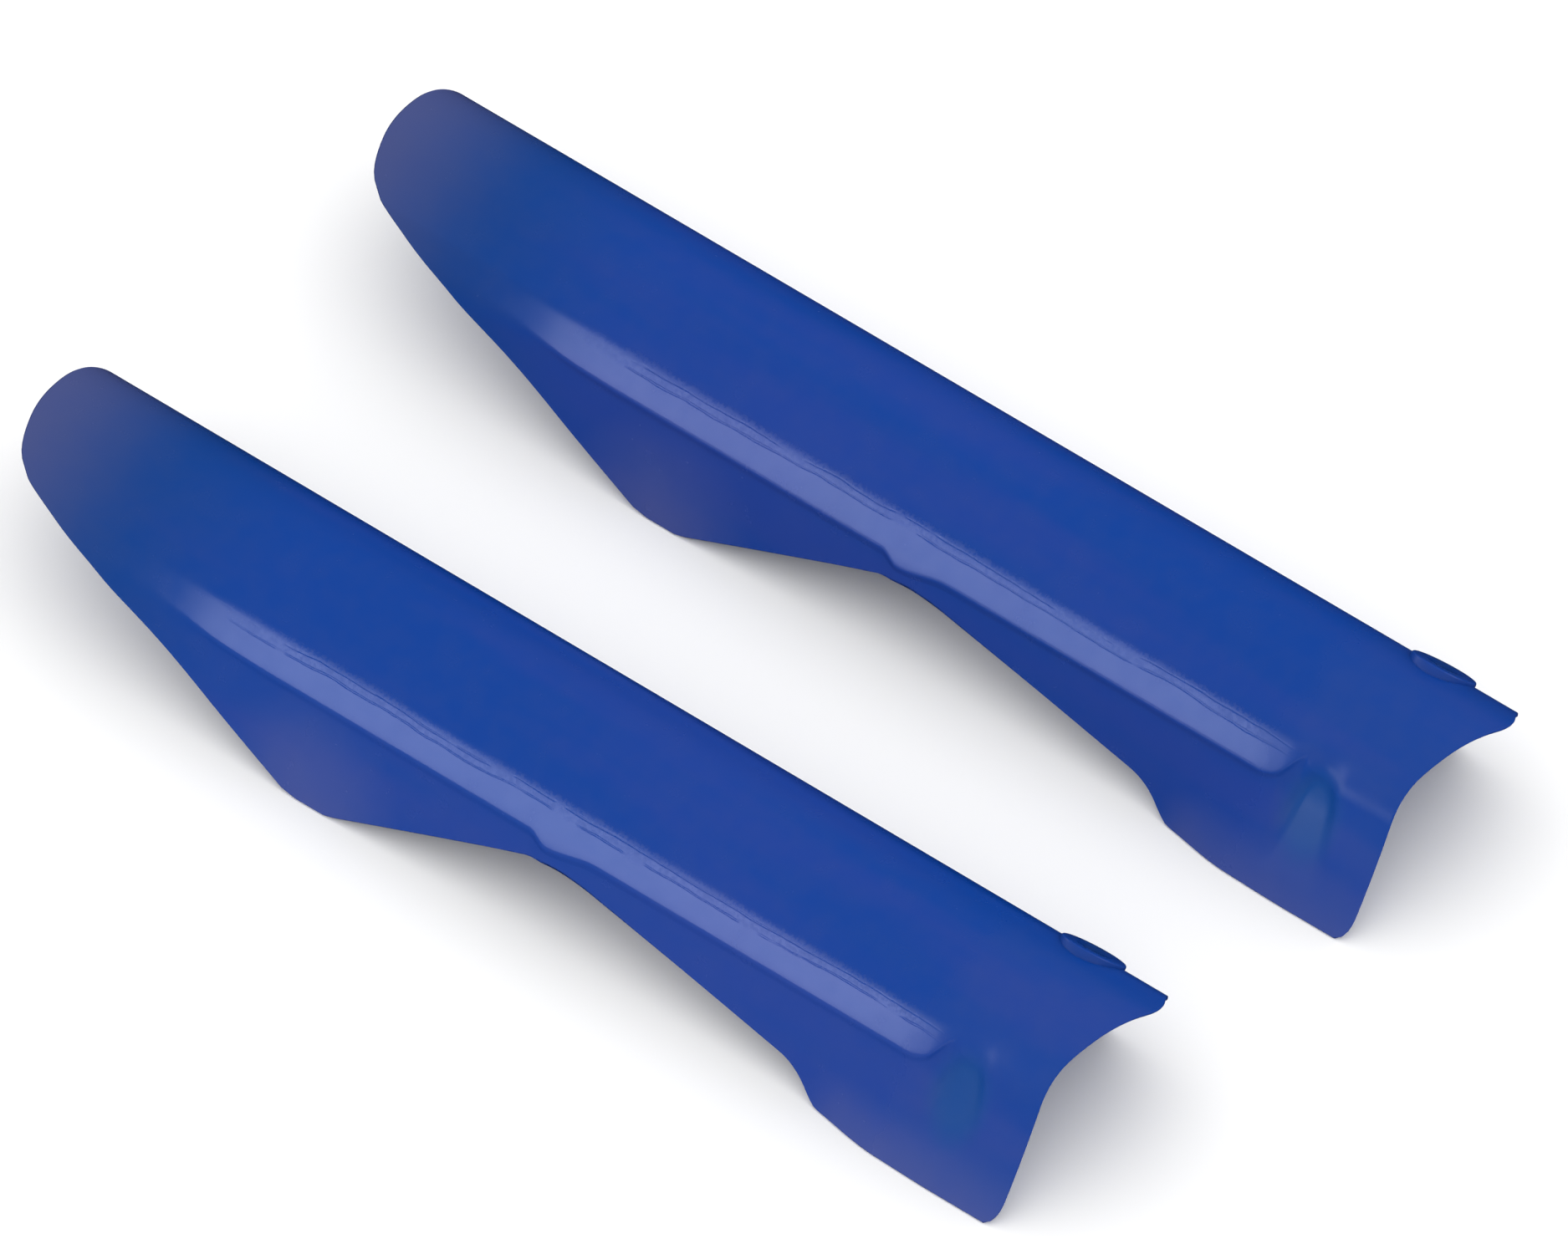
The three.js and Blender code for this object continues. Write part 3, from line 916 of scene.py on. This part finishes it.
    def _soft_section(self, at: SkinPoints) -> np.ndarray:
        """The section with no step, where the ledge rolls softly over into the wing.

        Args:
            at: The points.

        Returns:
            y and z of each point.
        """
        corner = self.shoulder + (self.bare_corner - self.shoulder) * self.ledge_share(at.x)[:, None]
        room = np.linalg.norm(corner - self.shoulder, axis=1)[:, None]
        begin = np.full(len(at.x), 0.14)
        bend_from, bend_to = self._bend(room)
        turn_from = corner - self.ledge_dir * np.minimum(5.5, 0.45 * room)
        turn = (turn_from, corner, self._flank(corner, at.x, begin, at.lift))
        return self._draw(at, (
            (Strip.SLOPE, self.runout, None, bend_from, 0, 1),
            (Strip.BEND, bend_from, self.shoulder, bend_to, 0, 1),
            (Strip.LEDGE, bend_to, None, turn_from, 0, 1),
            (Strip.NOSE, *turn, 0, 0.45),
            (Strip.STEP, *turn, 0.45, 0.6),
            (Strip.ROOT, *turn, 0.6, 1),
        ), corner, begin)

    def _foot_section(self, at: SkinPoints) -> np.ndarray:
        """The section of the foot, whose shoulder rolls over into its flank.

        Args:
            at: The points.

        Returns:
            y and z of each point.
        """
        corner = np.tile(self.shoulder, (len(at.x), 1))
        roll = self.foot_roll(at.x)
        begin = roll / 58.8
        turn_from = corner - self.slope_dir * roll[:, None]
        turn = (turn_from, corner, self._flank(corner, at.x, begin, at.lift))
        return self._draw(at, (
            (Strip.SLOPE, self.runout, None, turn_from, 0, 1),
            (Strip.BEND, *turn, 0, 0.35),
            (Strip.LEDGE, *turn, 0.35, 0.6),
            (Strip.NOSE, *turn, 0.6, 0.78),
            (Strip.STEP, *turn, 0.78, 0.86),
            (Strip.ROOT, *turn, 0.86, 1),
        ), corner, begin)

    def wall_middle(self, x: float, z: float) -> float:
        """Finds the middle of the flank's wall.

        Args:
            x: How far along the guard.
            z: At what height.

        Returns:
            Its y.
        """
        rows = np.flatnonzero(self.row_strip == Strip.FLANK.value)
        outer, inner = self.skins(rows, np.full(len(rows), x), np.zeros(len(rows)))
        middle = (outer + inner) / 2
        return float(np.interp(-z, -middle[:, 1], middle[:, 0]))

    # The grid's rows and columns

    def _section_at(self, x: float, plain: bool) -> np.ndarray:
        """y and z of every row in the section at x."""
        rows = len(self.every_row)
        return self.place(self.every_row, np.full(rows, x), np.zeros(rows), plain)

    def row_starts(self) -> np.ndarray:
        """Where each row begins at the top end, or along the wing's slanted edge."""
        y, z = self._section_at(50.0, False).T
        x = np.interp(z, self.top_side[::-1, 1], self.top_side[::-1, 0])
        before_crown = (self.row_strip == Strip.SIDE.value) | (y > 0)
        side = 4 * (1 - smooth(z, 42, 60)) + 10 * (1 - np.clip(z / 14, 0, 1)) ** 2
        return np.where(before_crown, side, x)

    def row_ends(self) -> np.ndarray:
        """Where each row ends at the foot's edge, the arch, the ear or the side wall's slanted corner."""
        s = self.sizes
        y, z = self._section_at(s.foot_edge - 25, True).T
        x = np.interp(y, self.end_edge[:, 0], self.end_edge[:, 1])
        corner = np.interp(z, self.foot_corner[:, 1], self.foot_corner[:, 0])
        x = np.where(self.row_strip == Strip.FLANK.value, np.minimum(x, corner), x)
        ear_edge, ear_height, side_cut = s.foot_edge + s.ear_reach / 2, s.side_height + s.outer_radius / 2, 34
        slanted = ear_edge - side_cut + z * side_cut / ear_height
        return np.where(y > 14, np.minimum(x, slanted), x)

    def lines(self) -> np.ndarray:
        """x of every crossing of the grid's rows and columns, rows first."""
        starts, ends = self.row_starts()[:, None], self.row_ends()[:, None]
        top = starts + (self.straight_from - starts) * np.linspace(0, 1, self.top_columns, endpoint=False)
        middle = np.tile(self.middle, (len(starts), 1))
        end = self.straight_to + (ends - self.straight_to) * np.linspace(0, 1, self.end_columns + 1)
        return np.hstack([top, middle, end])

    def skins(self, row: np.ndarray, x: np.ndarray, lift: np.ndarray) -> tuple[np.ndarray, np.ndarray]:
        """Points of the outer skin and those straight inside it on the inner skin.

        Args:
            row: Each point's row.
            x: How far along the guard it lies.
            lift: How far the lower edges are drawn up there.

        Returns:
            y and z on the outer skin, and on the inner skin.
        """
        strip, share, wall = self.row_strip[row], self.row_share[row], self.sizes.wall
        outer, bare = self.place(row, x, lift, False), self.place(row, x, lift, True)
        before = self.place(np.maximum(row - 1, 0), x, lift, True)
        after = self.place(np.minimum(row + 1, len(self.every_row) - 1), x, lift, True)
        along = after - before
        along /= np.maximum(np.linalg.norm(along, axis=1), 1e-9)[:, None]
        inner = bare + np.stack([-along[:, 1], along[:, 0]], 1) * wall
        # Towards the lower edges the inner skin keeps the outer skin's height.
        flank = strip == Strip.FLANK.value
        level = np.where(flank, smooth(share, 0.3, 1.0), (strip == Strip.SIDE.value).astype(float))
        slant = np.where(flank, wall / np.maximum(np.abs(along[:, 1]), 0.3), wall)
        beside = bare.copy()
        beside[:, 0] += np.sign(inner[:, 0] - bare[:, 0]) * slant
        return outer, inner + (beside - inner) * level[:, None]


def guard_origin(body: str, sizes: GuardSizes) -> Vector:
    """Where a guard's own zero lies: at its top end, on the half-round's axis and on the floor.

    Args:
        body: The guard's body.
        sizes: The moulding's sizes.

    Returns:
        The place in the shared frame, in metres.
    """
    low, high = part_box(f"{body}_moulded_shell")
    lean = math.radians(sizes.pad_angle)
    face = sizes.outer_radius + sizes.pad_proud
    reach = face * math.sin(lean) + sizes.pad_radius * math.cos(lean)
    return Vector((low.x, high.y - reach * MM, 0))


@dataclass
class MouldedShell:
    """One guard's moulding: a blank is pressed to the form, and its pad and bosses are joined on."""

    form: GuardForm
    origin: Vector
    finish: bpy.types.Material
    rim_round: float = 0.8
    foot_undercut: float = 1.5
    pad_back: float = 25.3
    pad_recess: float = 5.2
    flange_radius: float = 6.8
    collar_radius: float = 4.5
    inner_boss_radius: float = 9.0
    inner_boss_height: float = 3.9
    bosses: tuple = ((32.8, 27.0, 31.0), (20.8, 9.5, 40.0))
    boss_radius: float = 7.5
    insert_radius: float = 4.5
    insert_length: float = 7.5
    gap: float = 0.3

    def build(self, name: str) -> bpy.types.Object:
        """Builds the moulding.

        Args:
            name: The piece's name.

        Returns:
            The finished piece, dressed and in place.
        """
        piece = self._blank(name)
        self._press(piece)
        combine(piece, self._added(), "UNION")
        combine(piece, self._removed(), "DIFFERENCE")
        settle(piece, 38, self.finish)
        self._map(piece.data)
        return piece

    def point(self, x: float, y: float, z: float) -> Vector:
        """A point given in the guard's own millimetres, in metres in the shared frame."""
        return self.origin + Vector((x, y, z)) * MM

    def level(self, y: float) -> float:
        """A y given in the guard's own millimetres, in metres in the shared frame."""
        return self.origin.y + y * MM

    def pad_axis(self) -> Vector:
        """Where the side pad's axis crosses the half-round's own axis."""
        sizes = self.form.sizes
        return self.point(sizes.foot_edge - self.pad_back, 0, sizes.side_height)

    def recess_floor(self) -> float:
        """The y of the floor of the pad's recess in metres, before the pad leans."""
        return self.level(self.form.sizes.outer_radius + self.form.sizes.pad_proud - self.pad_recess)

    def boss_seat(self) -> float:
        """The y of the face of the boss behind the pad in metres, before the pad leans."""
        return self.level(self.form.sizes.outer_radius - self.form.sizes.wall - self.inner_boss_height)

    def lean_on_pad(self, piece: bpy.types.Object) -> None:
        """Turns a piece that was made along Y about the half-round's axis, onto the pad's axis.

        Args:
            piece: The object.
        """
        make_active(piece)
        lean = math.radians(90 - self.form.sizes.pad_angle)
        # The operator turns the other way round from the right-hand rule.
        bpy.ops.transform.rotate(value=-lean, orient_axis="X", center_override=self.pad_axis())
        bpy.ops.object.transform_apply(location=True, rotation=True, scale=True)

    def _blank(self, name: str) -> bpy.types.Object:
        """Makes a flat slab with the grid's rows and columns, whose rim is cut into rings.

        Args:
            name: The piece's name.

        Returns:
            The slab.
        """
        bpy.ops.object.select_all(action="DESELECT")
        bpy.ops.mesh.primitive_grid_add(
            x_subdivisions=self.form.columns - 1, y_subdivisions=len(self.form.every_row) - 1,
            size=2, location=(0, 0, 0))
        piece = name_piece(name)
        with editing(piece):
            bpy.ops.mesh.select_all(action="SELECT")
            bpy.ops.mesh.extrude_region_move(TRANSFORM_OT_translate={"value": (0, 0, -1)})
            select_in_edit(piece, "EDGE", lambda e: abs(e.verts[0].co.z - e.verts[1].co.z) > 0.5)
            bpy.ops.mesh.subdivide(number_cuts=3)
        return piece

    def _press(self, piece: bpy.types.Object) -> None:
        """Presses the flat slab to the guard's form, with a rounded rim.

        Args:
            piece: The slab.
        """
        form, mesh = self.form, piece.data
        flat = np.zeros(len(mesh.vertices) * 3)
        mesh.vertices.foreach_get("co", flat)
        flat = flat.reshape(-1, 3)
        last_column, last_row = form.columns - 1, len(form.every_row) - 1
        column = np.rint((flat[:, 0] + 1) / 2 * last_column).astype(int)
        row = np.rint((1 - flat[:, 1]) / 2 * last_row).astype(int)
        depth = -flat[:, 2]
        # The rim is a half-round, so a skin's own edge stands back from the outline.
        back = self.rim_round * (1 - np.sqrt(np.clip(1 - (2 * depth - 1) ** 2, 0, 1)))
        x = form.lines()[row, column]
        x = x + np.where(column == 0, back, 0)
        x = x - np.where(column == last_column, back + self.foot_undercut * depth, 0)
        lift = np.where((row == 0) | (row == last_row), back, 0)
        outer, inner = form.skins(row, x, lift)
        across = outer + (inner - outer) * depth[:, None]
        points = np.column_stack([x, across]) * MM + np.array(self.origin)
        mesh.vertices.foreach_set("co", points.ravel())
        mesh.update()
        with editing(piece):
            bpy.ops.mesh.select_all(action="SELECT")
            bpy.ops.mesh.normals_make_consistent(inside=False)

    def _map(self, mesh: bpy.types.Mesh) -> None:
        """Gives the mesh a map in metres: U along the guard, V across it from the shoulder down the ledge.

        Args:
            mesh: The finished piece's mesh.
        """
        places = np.zeros(len(mesh.vertices) * 3)
        mesh.vertices.foreach_get("co", places)
        places = places.reshape(-1, 3) - np.array(self.origin)
        from_shoulder = self.form.shoulder[0] * MM - places[:, 1]
        down_ledge = from_shoulder / math.cos(math.radians(self.form.sizes.ledge_slope))
        lay = np.column_stack([places[:, 0], down_ledge])
        while mesh.uv_layers:
            mesh.uv_layers.remove(mesh.uv_layers[0])
        layer = mesh.uv_layers.new(name="lay")
        corners = np.zeros(len(mesh.loops), int)
        mesh.loops.foreach_get("vertex_index", corners)
        layer.data.foreach_set("uv", lay[corners].ravel())

    def _added(self) -> list[bpy.types.Object]:
        """The side pad, the boss behind it, and the two bosses behind the foot."""
        sizes = self.form.sizes
        axis, seat = self.pad_axis(), self.boss_seat()
        face = self.level(sizes.outer_radius + sizes.pad_proud)
        # The pad's rim is lower than its middle over the round, so it starts where the wall is at its rim.
        rim = math.sqrt(sizes.outer_radius ** 2 - sizes.pad_radius ** 2) - sizes.wall * 0.3
        pad = rod("pad", axis, sizes.pad_radius * MM, self.level(rim), face, 96)
        self._soften_face(pad, face, 0.7 * MM)
        boss = rod("boss", axis, self.inner_boss_radius * MM, seat, self.level(rim - 0.01), 64)
        self._soften_face(boss, seat, 0.5 * MM)
        for piece in (pad, boss):
            self.lean_on_pad(piece)
        return [pad, boss] + [self._post(*each) for each in self.bosses]

    def _soften_face(self, piece: bpy.types.Object, level: float, width: float) -> None:
        """Rounds the rim of a rod's end face that lies at this y."""
        with editing(piece):
            select_in_edit(piece, "EDGE", lambda e: all(abs(v.co.y - level) < 1e-6 for v in e.verts))
            bpy.ops.mesh.bevel(offset=width, segments=3, affect="EDGES")

    def _post(self, back: float, height: float, seat: float) -> bpy.types.Object:
        """Makes a round boss that is cut to the lean of the foot's flank.

        Args:
            back: Millimetres from the foot's edge to its axis.
            height: Millimetres from the floor to its axis.
            seat: Millimetres from the channel's axis to its face.

        Returns:
            The boss, which ends in the middle of the flank's wall.
        """
        x = self.form.sizes.foot_edge - back
        high = self.level(-seat)
        post = rod("post", self.point(x, 0, height), self.boss_radius * MM, self.level(-75), high, 64)
        self._soften_face(post, high, 0.5 * MM)
        lean = math.radians(self.form.sizes.foot_lean)
        normal = Vector((0, -math.cos(lean), math.sin(lean)))
        on_flank = self.point(x, self.form.wall_middle(x, height), height)
        with editing(post):
            bpy.ops.mesh.select_all(action="SELECT")
            bpy.ops.mesh.bisect(plane_co=on_flank, plane_no=normal, clear_outer=True, use_fill=True)
        return post

    def _removed(self) -> list[bpy.types.Object]:
        """The pad's recess and bore in one stepped plug, and the holes that the inserts fill."""
        axis, recess = self.pad_axis(), self.recess_floor()
        narrow, wide = self.collar_radius + self.gap, self.flange_radius + self.gap
        plug = rod("plug", axis, narrow * MM, self.boss_seat() - 10 * MM, recess, 64)
        flare_end(plug, axis, recess, wide / narrow, 15 * MM)
        self.lean_on_pad(plug)
        pieces = [plug]
        for back, height, seat in self.bosses:
            axis = self.point(self.form.sizes.foot_edge - back, 0, height)
            low, high = self.level(-(seat + self.insert_length + self.gap)), self.level(6 - seat)
            pieces.append(rod("hole", axis, (self.insert_radius + self.gap) * MM, low, high, 64))
        return pieces


# --- metal pieces -------------------------------------------------------------------------------------------


@dataclass
class SideFixing:
    """The flanged collar and the button-head bolt in the side pad."""

    shell: MouldedShell
    finish: bpy.types.Material
    bolt_radius: float = 3.0
    bolt_length: float = 12.0
    pitch: float = 1.0
    thread_depth: float = 0.55
    head_radius: float = 6.2
    head_height: float = 2.0
    dome: tuple = ((1.0, 0.0), (1.0, 0.3), (0.97, 0.45), (0.86, 0.72), (0.72, 0.9), (0.6, 1.0))
    socket_radius: float = 2.3
    socket_depth: float = 1.3
    flange_thickness: float = 1.2
    edge_round: float = 0.15

    def collar(self, name: str) -> bpy.types.Object:
        """Builds the collar: a sleeve with a flange at its outer end and a bore through both.

        Args:
            name: The piece's name.

        Returns:
            The finished piece.
        """
        shell = self.shell
        axis, inner = shell.pad_axis(), shell.boss_seat()
        under = shell.recess_floor() + shell.gap * MM
        piece = rod(name, axis, shell.collar_radius * MM, inner, under, 64)
        flare_end(piece, axis, under, shell.flange_radius / shell.collar_radius, self.flange_thickness * MM)
        bore = rod("bore", axis, (self.bolt_radius + shell.gap) * MM, inner - MM, under + 3 * MM, 64)
        combine(piece, [bore], "DIFFERENCE")
        apply_modifier(piece, "BEVEL", width=self.edge_round * MM, segments=2, limit_method="ANGLE",
                       angle_limit=math.radians(50))
        shell.lean_on_pad(piece)
        settle(piece, 40, self.finish)
        return piece

    def bolt(self, name: str) -> bpy.types.Object:
        """Builds the bolt: a threaded shank, a domed head and a hexagon socket.

        Args:
            name: The piece's name.

        Returns:
            The finished piece.
        """
        shell = self.shell
        axis = shell.pad_axis()
        under = shell.recess_floor() + (self.flange_thickness + 2 * shell.gap) * MM
        end = under - self.bolt_length * MM
        piece = rod(name, axis, self.bolt_radius * MM, end, under)
        # The last two millimetres of turns are left out.
        rings = int(2 * (self.bolt_length - 2) / self.pitch)
        root = (self.bolt_radius - self.thread_depth) / self.bolt_radius
        with editing(piece):
            cut_rings(piece, rings)
            draw_in_rings(piece, axis, end, (under - end) / (rings + 1), range(0, rings, 2), root)
            self._raise_head(piece, axis, under)
        top = under + self.head_height * MM
        socket = rod("socket", axis, self.socket_radius * MM, top - self.socket_depth * MM, top + 2 * MM, 6)
        combine(piece, [socket], "DIFFERENCE")
        shell.lean_on_pad(piece)
        settle(piece, 40, self.finish)
        return piece

    def _raise_head(self, piece: bpy.types.Object, axis: Vector, under: float) -> None:
        """Widens the shank's outer end into the head and domes it in steps.

        Args:
            piece: The bolt, in edit mode.
            axis: A point on its axis.
            under: The y of the head's underside, in metres.
        """
        select_in_edit(piece, "FACE", lambda f: f.normal.y > 0.9 and f.calc_center_median().y > under - 1e-5)
        radius, level = self.bolt_radius, 0.0
        for share, rise in self.dome:
            extrude((rise - level) * self.head_height * MM)
            resize_round(axis, under, share * self.head_radius / radius)
            radius, level = share * self.head_radius, rise


@dataclass
class BossInsert:
    """A threaded brass insert, knurled in two bands with a groove between them."""

    shell: MouldedShell
    finish: bpy.types.Material
    thread_radius: float = 2.5
    thread_depth: float = 0.35
    knurl_depth: float = 0.35
    knurls: int = 30
    rings: int = 8
    bore_rings: int = 17

    def build(self, name: str, back: float, height: float, seat: float) -> bpy.types.Object:
        """Builds one insert.

        Args:
            name: The piece's name.
            back: Millimetres from the foot's edge to its axis.
            height: Millimetres from the floor to its axis.
            seat: Millimetres from the channel's axis to its face.

        Returns:
            The finished piece.
        """
        shell = self.shell
        axis = shell.point(shell.form.sizes.foot_edge - back, 0, height)
        high = shell.level(-seat)
        low = high - shell.insert_length * MM
        piece = rod(name, axis, shell.insert_radius * MM, low, high, self.knurls * 2)
        with editing(piece):
            cut_rings(piece, self.rings)
            self._shape_bands(piece, axis, low, high)
        bore = rod("bore", axis, self.thread_radius * MM, low - MM, high + MM)
        spacing = (shell.insert_length + 2) * MM / (self.bore_rings + 1)
        crest = (self.thread_radius - self.thread_depth) / self.thread_radius
        with editing(bore):
            cut_rings(bore, self.bore_rings)
            draw_in_rings(bore, axis, low - MM, spacing, range(3, 16, 2), crest)
        combine(piece, [bore], "DIFFERENCE")
        settle(piece, 30, self.finish)
        return piece

    def _shape_bands(self, piece: bpy.types.Object, axis: Vector, low: float, high: float) -> None:
        """Draws in the middle groove, the end's chamfer and every other line of the two knurled bands.

        Args:
            piece: The insert, in edit mode.
            axis: A point on its axis.
            low: The y of its inner end, in metres.
            high: The y of its face, in metres.
        """
        radius = self.shell.insert_radius
        spacing = (high - low) / (self.rings + 1)
        step = math.pi / self.knurls

        def odd_line(vertex: bmesh.types.BMVert) -> bool:
            """Says whether a corner lies on every other line round the insert."""
            turn = math.atan2(vertex.co.x - axis.x, vertex.co.z - axis.z)
            return round(turn / step) % 2 == 1

        bands = (
            ((4, 5), 2.0, False),
            ((0,), 1.0, False),
            ((1, 2, 3, 6, 7, 8), 0.6, True),
        )
        for rings, share, knurled in bands:
            select_in_edit(piece, "VERT", lambda v: round((v.co.y - low) / spacing) in rings
                           and (odd_line(v) or not knurled))
            resize_round(axis, (low + high) / 2, (radius - self.knurl_depth * share) / radius)


# --- the studio ---------------------------------------------------------------------------------------------


@dataclass
class Studio:
    """The floor, the lights and the camera. Glossy surfaces mirror only the softboxes."""

    form: GuardForm
    azimuth: float = 37.57
    elevation: float = 50.0
    lens: float = 1200.0
    sensor: float = 36.0
    view_width: float = 0.5515
    aim_offset: Vector = field(default_factory=lambda: Vector((0.00701, 0.01549, 0.030)))
    floor_width: float = 14.0
    sky: float = 1.25
    daylight: tuple = (0.82, 0.87, 1.0)
    ledge_lit: tuple = (96, 421)
    ledge_mirrors: tuple = (-0.0353, -0.0637, 0.0527)
    strip_width: float = 0.032
    strip_radiance: float = 4.9

    def build(self) -> None:
        """Builds the floor, the lights and the camera."""
        self._floor()
        self._world()
        self._camera()
        for body in ("first_guard", "second_guard"):
            self._ledge_strip(body)
        # These give a sheen to the sides that are turned away from the camera.
        self._softbox("rear_softbox", (0.64, 0.47, 0.61), 1.6, (0.9, 0.9), 1.6)
        self._softbox("wing_softbox", (0.64, -0.7, 0.3), 1.6, (0.9, 0.5), 1.2)
        self._softbox("end_softbox", (-0.94, 0.1, 0.33), 1.8, (0.9, 0.6), 1.6)
        bpy.context.scene.view_settings.view_transform = "Standard"

    def _floor(self) -> None:
        """Lays a wide white floor under the pair."""
        bpy.ops.object.select_all(action="DESELECT")
        bpy.ops.mesh.primitive_plane_add(size=self.floor_width, location=(0, 0, 0))
        floor = name_piece("floor")
        floor.data.materials.append(PaleSweep().make())
        # Only the camera and matt surfaces see the floor, so that it leaves no veil on the guards' flanks.
        floor.visible_glossy = False

    def _world(self) -> None:
        """Lights matt surfaces evenly from all round."""
        world = bpy.data.worlds.new("studio")
        world.use_nodes = True
        background = world.node_tree.nodes["Background"]
        background.inputs[0].default_value = (1, 1, 1, 1)
        background.inputs[1].default_value = self.sky
        world.cycles_visibility.glossy = False
        bpy.context.scene.world = world

    def _camera(self) -> None:
        """Sets up a long lens at the view's angle."""
        turn, rise = math.radians(self.azimuth), math.radians(self.elevation)
        back = Vector((math.sin(turn) * math.cos(rise), -math.cos(turn) * math.cos(rise), math.sin(rise)))
        distance = self.view_width / 2 * self.lens / (self.sensor / 2)
        bpy.ops.object.camera_add(location=self.aim_offset + back * distance)
        camera = bpy.context.object
        camera.rotation_mode = "QUATERNION"
        camera.rotation_quaternion = (-back).to_track_quat("-Z", "Y")
        camera.data.lens = self.lens
        camera.data.sensor_width = self.sensor
        camera.data.clip_end = 60
        bpy.context.scene.camera = camera

    def _ledge_strip(self, body: str) -> None:
        """Hangs a strip softbox in front of a guard, as long as the stretch of ledge that it lights up.

        Args:
            body: The guard's body.
        """
        start, end = self.ledge_lit
        middle = (self.form.shoulder + self.form.ledge_edge) / 2
        origin = guard_origin(body, self.form.sizes)
        # From here the ledge mirrors it towards the camera.
        aside, forward, up = self.ledge_mirrors
        at = origin + Vector(((start + end) / 2, middle[0], middle[1])) * MM + Vector((aside, 0, 0))
        distance = math.hypot(forward, up)
        size = ((end - start) * MM, self.strip_width)
        self._softbox(f"{body}_strip", (0, forward, up), distance, size, self.strip_radiance, at)

    def _softbox(self, name: str, direction: Iterable[float], distance: float, size: tuple[float, float],
                 radiance: float, at: Iterable[float] = (0, 0, 0)) -> None:
        """Hangs an area light that faces a point and is mirrored in glossy surfaces only.

        Args:
            name: The light's name.
            direction: From the point towards the light.
            distance: Metres between them.
            size: Width and height in metres.
            radiance: Brightness, where the floor's is about 1.
            at: The point.
        """
        towards = Vector(direction).normalized()
        light = bpy.data.lights.new(name, "AREA")
        light.shape = "RECTANGLE"
        light.size, light.size_y = size
        light.energy = radiance * size[0] * size[1] * math.pi
        light.color = self.daylight
        softbox = bpy.data.objects.new(name, light)
        softbox.location = Vector(at) + towards * distance
        softbox.rotation_mode = "QUATERNION"
        softbox.rotation_quaternion = (-towards).to_track_quat("-Z", "Y")
        softbox.visible_camera = False
        softbox.visible_diffuse = False
        bpy.context.collection.objects.link(softbox)


# --- the pair -----------------------------------------------------------------------------------------------


@dataclass
class GuardPair:
    """Both guards with their metal pieces. The second is a copy of the first at its own place."""

    form: GuardForm
    shell_finish: bpy.types.Material
    steel: bpy.types.Material
    brass: bpy.types.Material

    def build(self) -> None:
        """Builds the first guard's pieces, copies them for the second, and puts every piece on its body."""
        first, second = (guard_origin(body, self.form.sizes) for body in ("first_guard", "second_guard"))
        shell = MouldedShell(self.form, first, self.shell_finish)
        fixing = SideFixing(shell, self.steel)
        insert = BossInsert(shell, self.brass)
        upper, lower = shell.bosses
        made = {
            "moulded_shell": (shell.build("moulding_first"), "blue_moulding"),
            "side_collar": (fixing.collar("collar_first"), "steel"),
            "side_bolt": (fixing.bolt("bolt_first"), "steel"),
            "upper_insert": (insert.build("upper_insert_first", *upper), "brass"),
            "lower_insert": (insert.build("lower_insert_first", *lower), "brass"),
        }
        for node, (piece, slot) in made.items():
            twin = copy_to(piece, piece.name.replace("first", "second"), second - first)
            self._place(piece, "first_guard", node, slot)
            self._place(twin, "second_guard", node, slot)

    def _place(self, piece: bpy.types.Object, body: str, node: str, slot: str) -> None:
        """Puts a piece on its body, in its CAD node's stead.

        Args:
            piece: The finished piece.
            body: The body that it moves with.
            node: What its CAD node is called after the body's name.
            slot: The name of its material slot; not used.
        """
        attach(piece, body)
        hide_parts(f"{body}_{node}")
        log.info("%s rides %s, %d faces", piece.name, body, len(piece.data.polygons))


def main() -> None:
    """Builds the pair and the studio."""
    logging.basicConfig(level=logging.INFO, format="%(message)s")
    form = GuardForm()
    GuardPair(form, MouldedPolypropylene().make(), ZincPlatedSteel().make(), TurnedBrass().make()).build()
    Studio(form).build()


if __name__ == "__main__":
    main()
